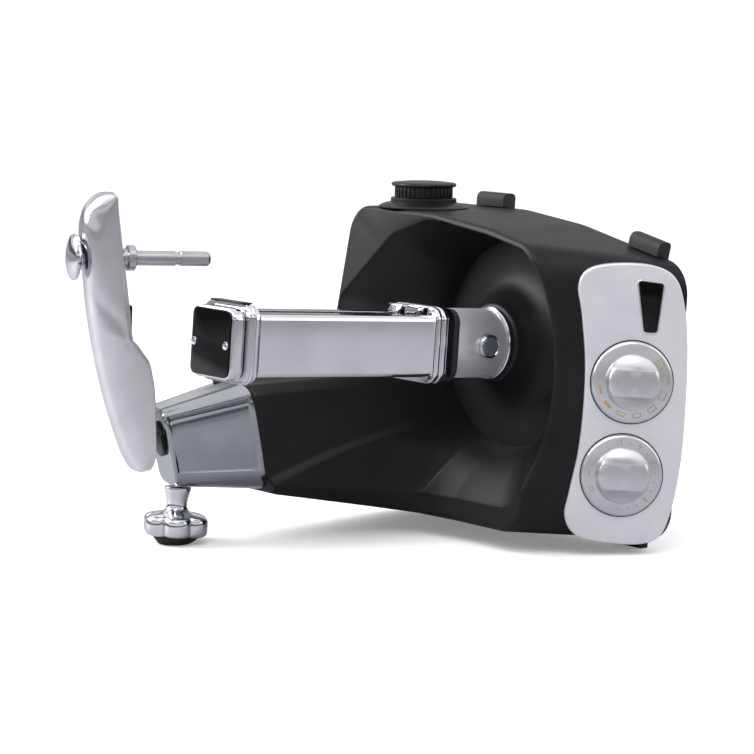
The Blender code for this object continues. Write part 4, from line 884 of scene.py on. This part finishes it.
def make_tower():
    normal = MACHINE.inverted().to_3x3() @ joint_axis("arm_swing")
    along = [0.0, 0.012, 0.02, 0.03] + [0.04 + 0.92 * i / 60 for i in range(61)] + [0.97, 0.98, 0.99, 1.0]
    edge, sunk = 0.0012, 0.0016
    rows = []
    for share in along:
        row = []
        for a, b in squircle(288, 5.0):
            y, z = TOWER_BASE_Y + a * TOWER_BASE_HALF[0], TOWER_MID_Z + 0.003 + b * TOWER_BASE_HALF[1]
            base = Vector((TOWER_X - TOWER_SLANT * (z - TOWER_MID_Z) - GAP, y, z))
            shrink = 1 - 0.035 * ramp(share, 0.98, 1.0)
            y = TOWER_END.y + a * TOWER_END_HALF[0] * shrink
            z = TOWER_END.z - TOWER_END_DROP + b * TOWER_END_HALF[1] * shrink
            x = TOWER_END.x - (normal.y * (y - TOWER_END.y) + normal.z * (z - TOWER_END.z)) / normal.x
            spot = base.lerp(Vector((x, y, z)), share)
            if a < 0:
                inside = ramp(share, 0.035, 0.035 + edge * 14) * ramp(0.955 - share, 0.0, edge * 14)
                inside *= ramp(b, -0.60, -0.56) * ramp(0.84 - b, 0.0, 0.04) * ramp(-a, 0.90, 0.93)
                bulge = 0.0011 * (1 - ((b - 0.12) / 0.72) ** 2)
                spot.y += inside * (sunk - bulge)
            row.append(spot)
        rows.append(row)
    tower = skin("tower_polished", rows, machine(), True, True)
    pin = axes(ORIGIN, (1, 0, 0), (0, 0, 1))
    cut(tower, lathe("pivot_bore", [(-0.030, 0), (-0.030, 0.0063), (0.010, 0.0063), (0.010, 0)], PIVOT, 48))
    cut(tower, lathe("foot_bore", [(-0.150, 0), (-0.150, 0.0055), (-0.103, 0.0055), (-0.103, 0)],
                     machine((FOOT_X, FOOT_Y, 0), pin), 48))
    settle(tower, MIRROR_CAST, "machine", "polished_aluminium", "tower_casting", angle=30)


ARM_OUTER = [(-0.0394, 0.2055), (-0.0470, 0.2050), (-0.0545, 0.2010), (-0.0610, 0.1930), (-0.0645, 0.1820),
             (-0.0650, 0.1720), (-0.0638, 0.1560), (-0.0610, 0.1352), (-0.0582, 0.1120), (-0.0545, 0.0902),
             (-0.0500, 0.0680), (-0.0445, 0.0459), (-0.0365, 0.0197), (-0.0270, -0.0060), (-0.0225, -0.0150),
             (-0.0180, -0.0220), (-0.0150, -0.0246), (-0.0110, -0.0255)]
ARM_INNER = [(-0.0392, 0.2053), (-0.0378, 0.1920), (-0.0355, 0.1750), (-0.0335, 0.1600), (-0.0302, 0.1380),
             (-0.0269, 0.1150), (-0.0234, 0.0880), (-0.0200, 0.0830), (-0.0140, 0.0750), (-0.0085, 0.0670),
             (-0.0055, 0.0560), (-0.0035, 0.0450), (-0.0017, 0.0220), (-0.0010, 0.0000), (-0.0010, -0.0100),
             (-0.0020, -0.0160), (-0.0050, -0.0215), (-0.0108, -0.0254)]
ARM_HALF = 0.022


def along_curve(points, shares):
    """Points at shares of a curve's length."""
    fine = np.array([tuple(point) for point in curve_through(points, 12, False)])
    run = np.concatenate([[0], np.cumsum(np.linalg.norm(np.diff(fine, axis=0), axis=1))])
    run /= run[-1]
    return np.stack([np.interp(shares, run, fine[:, k]) for k in range(fine.shape[1])], axis=1)


def arm_section(count):
    """Section of the arm: flat on the inner side (0) and full round on the outer side (1)."""
    corner = 0.06
    loop = [(0.0, -0.93), (0.0, 0.93), (corner * 0.3, 0.98), (corner, 1.0)]
    for i in range(1, count):
        turn = math.pi / 2 - math.pi * i / count
        c, s = math.cos(turn), math.sin(turn)
        loop.append((corner + (1 - corner) * abs(c) ** (2 / 2.7), math.copysign(abs(s) ** (2 / 2.7), s)))
    loop += [(corner, -1.0), (corner * 0.3, -0.98)]
    return loop


def make_arm():
    shares = (1 - np.cos(np.linspace(0, math.pi, 150))) / 2
    shares = 0.35 * shares + 0.65 * np.linspace(0, 1, 150)
    outer = along_curve(ARM_OUTER, shares)
    inner = along_curve(ARM_INNER, shares)
    section = arm_section(90)
    rows = []
    for share, (xo, zo), (xi, zi) in zip(shares, outer, inner):
        full = ramp(share, -0.012, 0.018) * ramp(1.0 - share, -0.020, 0.030)
        row = []
        for width, thick in section:
            x, z = xi + (xo - xi) * width, zi + (zo - zi) * width
            y = thick * ARM_HALF * full
            dimple = math.exp(-((x + 0.0568) / 0.0052) ** 2 - ((z - 0.184) / 0.0100) ** 2)
            ridge = (x + 0.0616) * 0.69 + (z - 0.125) * 0.72
            crease = 0.0006 * math.exp(-(ridge / 0.0060) ** 2)
            crease *= ramp(width, 0.1, 0.3) * ramp(0.96 - width, 0.0, 0.2)
            if abs(thick) > 0.6:
                y -= math.copysign(0.0012 * dimple - crease, thick)
            row.append((x, y, z))
        rows.append(row)
    arm = skin("arm_polished", rows, ARM, True, True)
    cut(arm, lathe("pivot_hole", [(-0.0125, 0), (-0.0125, 0.0065), (0.0260, 0.0065), (0.0260, 0)], PIVOT, 48))
    shaft = ARM @ Matrix.Translation((0, 0, ARM_SHAFT_Z)) @ ALONG_X
    cut(arm, lathe("shaft_hole", [(-0.080, 0), (-0.080, 0.0064), (0.0, 0.0064), (0.0, 0)], shaft, 48))
    settle(arm, SATIN_CAST, "arm", "polished_aluminium", "arm_casting", angle=38)
    profile = [(-0.050, 0), (-0.050, 0.006), (-0.0285, 0.006), (-0.0285, 0.0078), (-0.0250, 0.0078),
               (-0.0250, 0.0101), (-0.0246, 0.0106), (-0.0192, 0.0106), (-0.0186, 0.0102),
               (-0.0178, 0.0062), (0.0158, 0.0062), (0.0161, 0.0059), (0.0161, 0.0052),
               (0.0199, 0.0052), (0.0199, 0.0059), (0.0202, 0.0062), (0.0436, 0.0062),
               (0.0455, 0.0046), (0.0455, 0)]
    rod = lathe("roller_shaft_ground", profile, shaft)
    settle(rod, GROUND_STEEL, "roller_shaft", "bright_steel", "roller_shaft")
    profile = [(-0.0755, 0.0), (-0.0753, 0.0040), (-0.0742, 0.0110), (-0.0722, 0.0170),
               (-0.0712, 0.0186), (-0.0700, 0.0192), (-0.0688, 0.0190), (-0.0674, 0.0182),
               (-0.0666, 0.0160), (-0.0664, 0.0130), (-0.0652, 0.0124), (-0.0652, 0.0055),
               (-0.0505, 0.0055), (-0.0505, 0.0)]
    knob = lathe("arm_knob_chrome", profile, shaft)
    settle(knob, CHROME, "arm_knob", "chrome", "arm_knob")
    lever = slab("arm_lever_abs", rounded_box(0.00175, 0.01125, 0.0017, 6), soft(-0.007, 0.007, 0.0014),
                 ARM @ Matrix.Translation((-0.02225, 0, 0.10175)) @ ALONG_Y)
    settle(lever, SATIN_ABS, "arm_lever", "black_plastic", "arm_release_lever")


# ---- screw foot ---------------------------------------------------------------------------
def make_screw_foot():
    """Star knob with its screw, and a rubber pad ground flat to the table."""
    place = machine((FOOT_X, FOOT_Y, 0))
    rim = STAR_RADIUS
    profile = [(-0.1352, 0.0054, 0), (-0.1352, 0.0105, 0), (-0.1356, 0.0112, 0), (-0.1364, 0.0115, 0),
               (-0.1400, 0.0108, 0), (-0.1440, 0.0096, 0), (-0.1480, 0.0088, 0), (-0.1520, 0.0089, 0),
               (-0.1545, 0.0098, 0), (-0.1562, 0.0122, 0.1), (-0.1574, 0.0170, 0.3),
               (-0.1584, rim - 0.0062, 0.6), (-0.1595, rim - 0.0030, 0.85), (-0.1610, rim - 0.0010, 1),
               (-0.1630, rim, 1), (-0.1670, rim, 1), (-0.1715, rim, 1), (-0.1738, rim - 0.0008, 1),
               (-0.1754, rim - 0.0025, 1), (-0.1764, rim - 0.0050, 1), (-0.1765, rim - 0.0070, 1),
               (-0.1765, 0.0054, 0), (-0.1352, 0.0054, 0)]
    rows = []
    for height, radius, lobed in profile:
        row = []
        for i in range(192):
            turn = 2 * math.pi * i / 192
            scallop = (1 - abs(math.cos(3 * turn)) ** 0.75) * 0.20
            size = radius * (1 - scallop * lobed)
            row.append((size * math.cos(turn), size * math.sin(turn), height))
        rows.append(row)
    settle(skin("star_chrome", rows, place), CHROME, "screw_foot", "chrome", "star_knob", angle=50)
    thread = [(-0.1745, 0.0), (-0.1745, 0.0046)]
    for i in range(44):
        height = -0.1740 + 0.0015 * i
        thread += [(height, 0.0044), (height + 0.00075, 0.0050)]
    rod = lathe("foot_thread", thread + [(-0.108, 0.0044), (-0.108, 0.0)], place, 48)
    settle(rod, GROUND_STEEL, "screw_foot", "bright_steel", "foot_screw")
    table = table_at(FOOT_X)
    slope = math.tan(LEAN)
    profile = [(-0.1768, 0.0), (-0.1768, 0.0182), (-0.1772, 0.0185), (-0.1786, 0.0185),
               (-0.1800, 0.0172), (table - 0.0010, 0.0135), (table - 0.0012, 0.0)]
    pad = lathe("foot_rubber", profile, place, 72)
    for vertex in pad.data.vertices:
        spot = MACHINE.inverted() @ vertex.co
        floor = table + slope * (spot.x - FOOT_X)
        if spot.z < floor:
            spot.z = floor
            vertex.co = MACHINE @ spot
    settle(pad, RUBBER, "foot_pad", "rubber", "foot_pad")


# ---- finishes of the pieces that keep their shape -----------------------------------------
def dress(finish, *names):
    for name in names:
        for slot in frame["nodes"][name].material_slots:
            slot.material = finish


# ---- room, light and camera ---------------------------------------------------------------
def make_room():
    """Pale floor, a studio with soft bands of light for the metals to mirror, and three soft lamps."""
    bm = bmesh.new()
    bmesh.ops.create_grid(bm, x_segments=8, y_segments=8, size=60.0)
    floor = new_object("floor", bm)
    paper = grained("pale_paper", "#f6f6f7", "#f3f3f4", (0.55, 0.65), 0.01, blotch=0.5)
    tree = paper.node_tree
    shader = tree.nodes["Principled BSDF"]
    mirrored = add_node(tree, "ShaderNodeLightPath").outputs["Is Glossy Ray"]
    tint = shader.inputs["Base Color"].links[0].from_socket
    dimmed = add_node(tree, "ShaderNodeMixRGB", {"Fac": mirrored, "Color1": tint,
                                                 "Color2": (0.36, 0.36, 0.38, 1.0)})
    tree.links.new(dimmed.outputs["Color"], shader.inputs["Base Color"])
    # the floor mirrors darker than it looks, and glows a little so that it stays white
    glow = add_node(tree, "ShaderNodeMapRange", {"Value": mirrored, "To Min": 0.22, "To Max": 0.0})
    shader.inputs["Emission Color"].default_value = (1.0, 1.0, 1.0, 1.0)
    tree.links.new(glow.outputs["Result"], shader.inputs["Emission Strength"])
    floor.data.materials.append(paper)
    world = bpy.data.worlds.new("studio")
    bpy.context.scene.world = world
    world.use_nodes = True
    tree = world.node_tree
    background = tree.nodes["Background"]
    facing = add_node(tree, "ShaderNodeTexCoord").outputs["Generated"]
    split = add_node(tree, "ShaderNodeSeparateXYZ", {"Vector": facing}).outputs["Z"]
    ramp_node = add_node(tree, "ShaderNodeValToRGB", {"Fac": split})
    stops = ramp_node.color_ramp
    bands = ((0.0, 0.55), (0.06, 0.12), (0.13, 0.12), (0.16, 0.80), (0.30, 0.90), (0.34, 0.30), (0.46, 0.30),
             (0.52, 1.0), (0.9, 1.1))
    while len(stops.elements) < len(bands):
        stops.elements.new(0.5)
    for element, (place, light) in zip(stops.elements, bands):
        element.position = place
        element.color = (light, light, light * 1.01, 1.0)
    seen = add_node(tree, "ShaderNodeLightPath").outputs["Is Camera Ray"]
    mixed = add_node(tree, "ShaderNodeMixRGB", {"Fac": seen, "Color1": ramp_node.outputs["Color"],
                                                "Color2": (1.0, 1.0, 1.0, 1.0)})
    tree.links.new(mixed.outputs["Color"], background.inputs["Color"])
    background.inputs["Strength"].default_value = 1.0
    for name, at, size, power in (("key", (-0.7, -0.9, 1.9), 1.2, 16.0), ("fill", (1.4, -1.3, 1.0), 1.4, 6.0),
                                  ("rear", (-1.2, 1.2, 1.3), 1.4, 60.0)):
        light = bpy.data.lights.new(name, "AREA")
        light.size = size
        light.energy = power
        lamp = bpy.data.objects.new(name, light)
        lamp.location = at
        lamp.rotation_euler = (Vector((0, 0, 0.1)) - Vector(at)).to_track_quat("-Z", "Y").to_euler()
        bpy.context.scene.collection.objects.link(lamp)


def make_camera():
    """Long lens, 38 degrees round from the front and 8 degrees up, aimed a little right of the hub."""
    turn, up = math.radians(38), math.radians(8)
    ahead = Vector((math.sin(turn) * math.cos(up), math.cos(turn) * math.cos(up), -math.sin(up)))
    right = Vector((math.cos(turn), -math.sin(turn), 0))
    lens = bpy.data.cameras.new("camera")
    lens.sensor_width = 36.0
    lens.lens = 143.24
    lens.clip_end = 200.0
    camera = bpy.data.objects.new("camera", lens)
    camera.location = MACHINE.translation - right * 0.09479 - right.cross(ahead) * 0.02857 - ahead * 2.521
    camera.rotation_euler = ahead.to_track_quat("-Z", "Y").to_euler()
    bpy.context.scene.collection.objects.link(camera)
    bpy.context.scene.camera = camera
    bpy.context.scene.view_settings.view_transform = "Standard"


make_camera()
make_room()
HOUSING = make_housing()
make_base()
make_feet()
make_panel(HOUSING)
make_badge()
make_dials()
make_sleeve()
make_covers()
make_flanges()
make_end_cap()
make_rolls()
make_port()
make_tower()
make_arm()
make_screw_foot()

dress(ZINC_SHEET, "base_plate", "motor_rotor")
dress(GROUND_STEEL, "output_shaft", "drive_coupling", "cutter_drive_shaft", "front_roll_gears",
      "rear_roll_gear", "front_comb", "rear_comb", "motor_pulley", "pivot_pin")
dress(CHROME, "left_bearing_plate", "right_bearing_plate")
dress(BRONZE, "hub_bushing", "lower_bearing")
dress(NYLON, "drive_pulley", "motor_fan", "speed_control_unit", "timer_unit", "port_cup")
dress(RUBBER, "drive_belt")
dress(COPPER, "motor_stator")
dress(TURNED_ALLOY, "motor_front_bracket", "motor_rear_bracket")
dress(GREEN_BOARD, "circuit_board")
dress(SATIN_ABS, "pivot_bush")
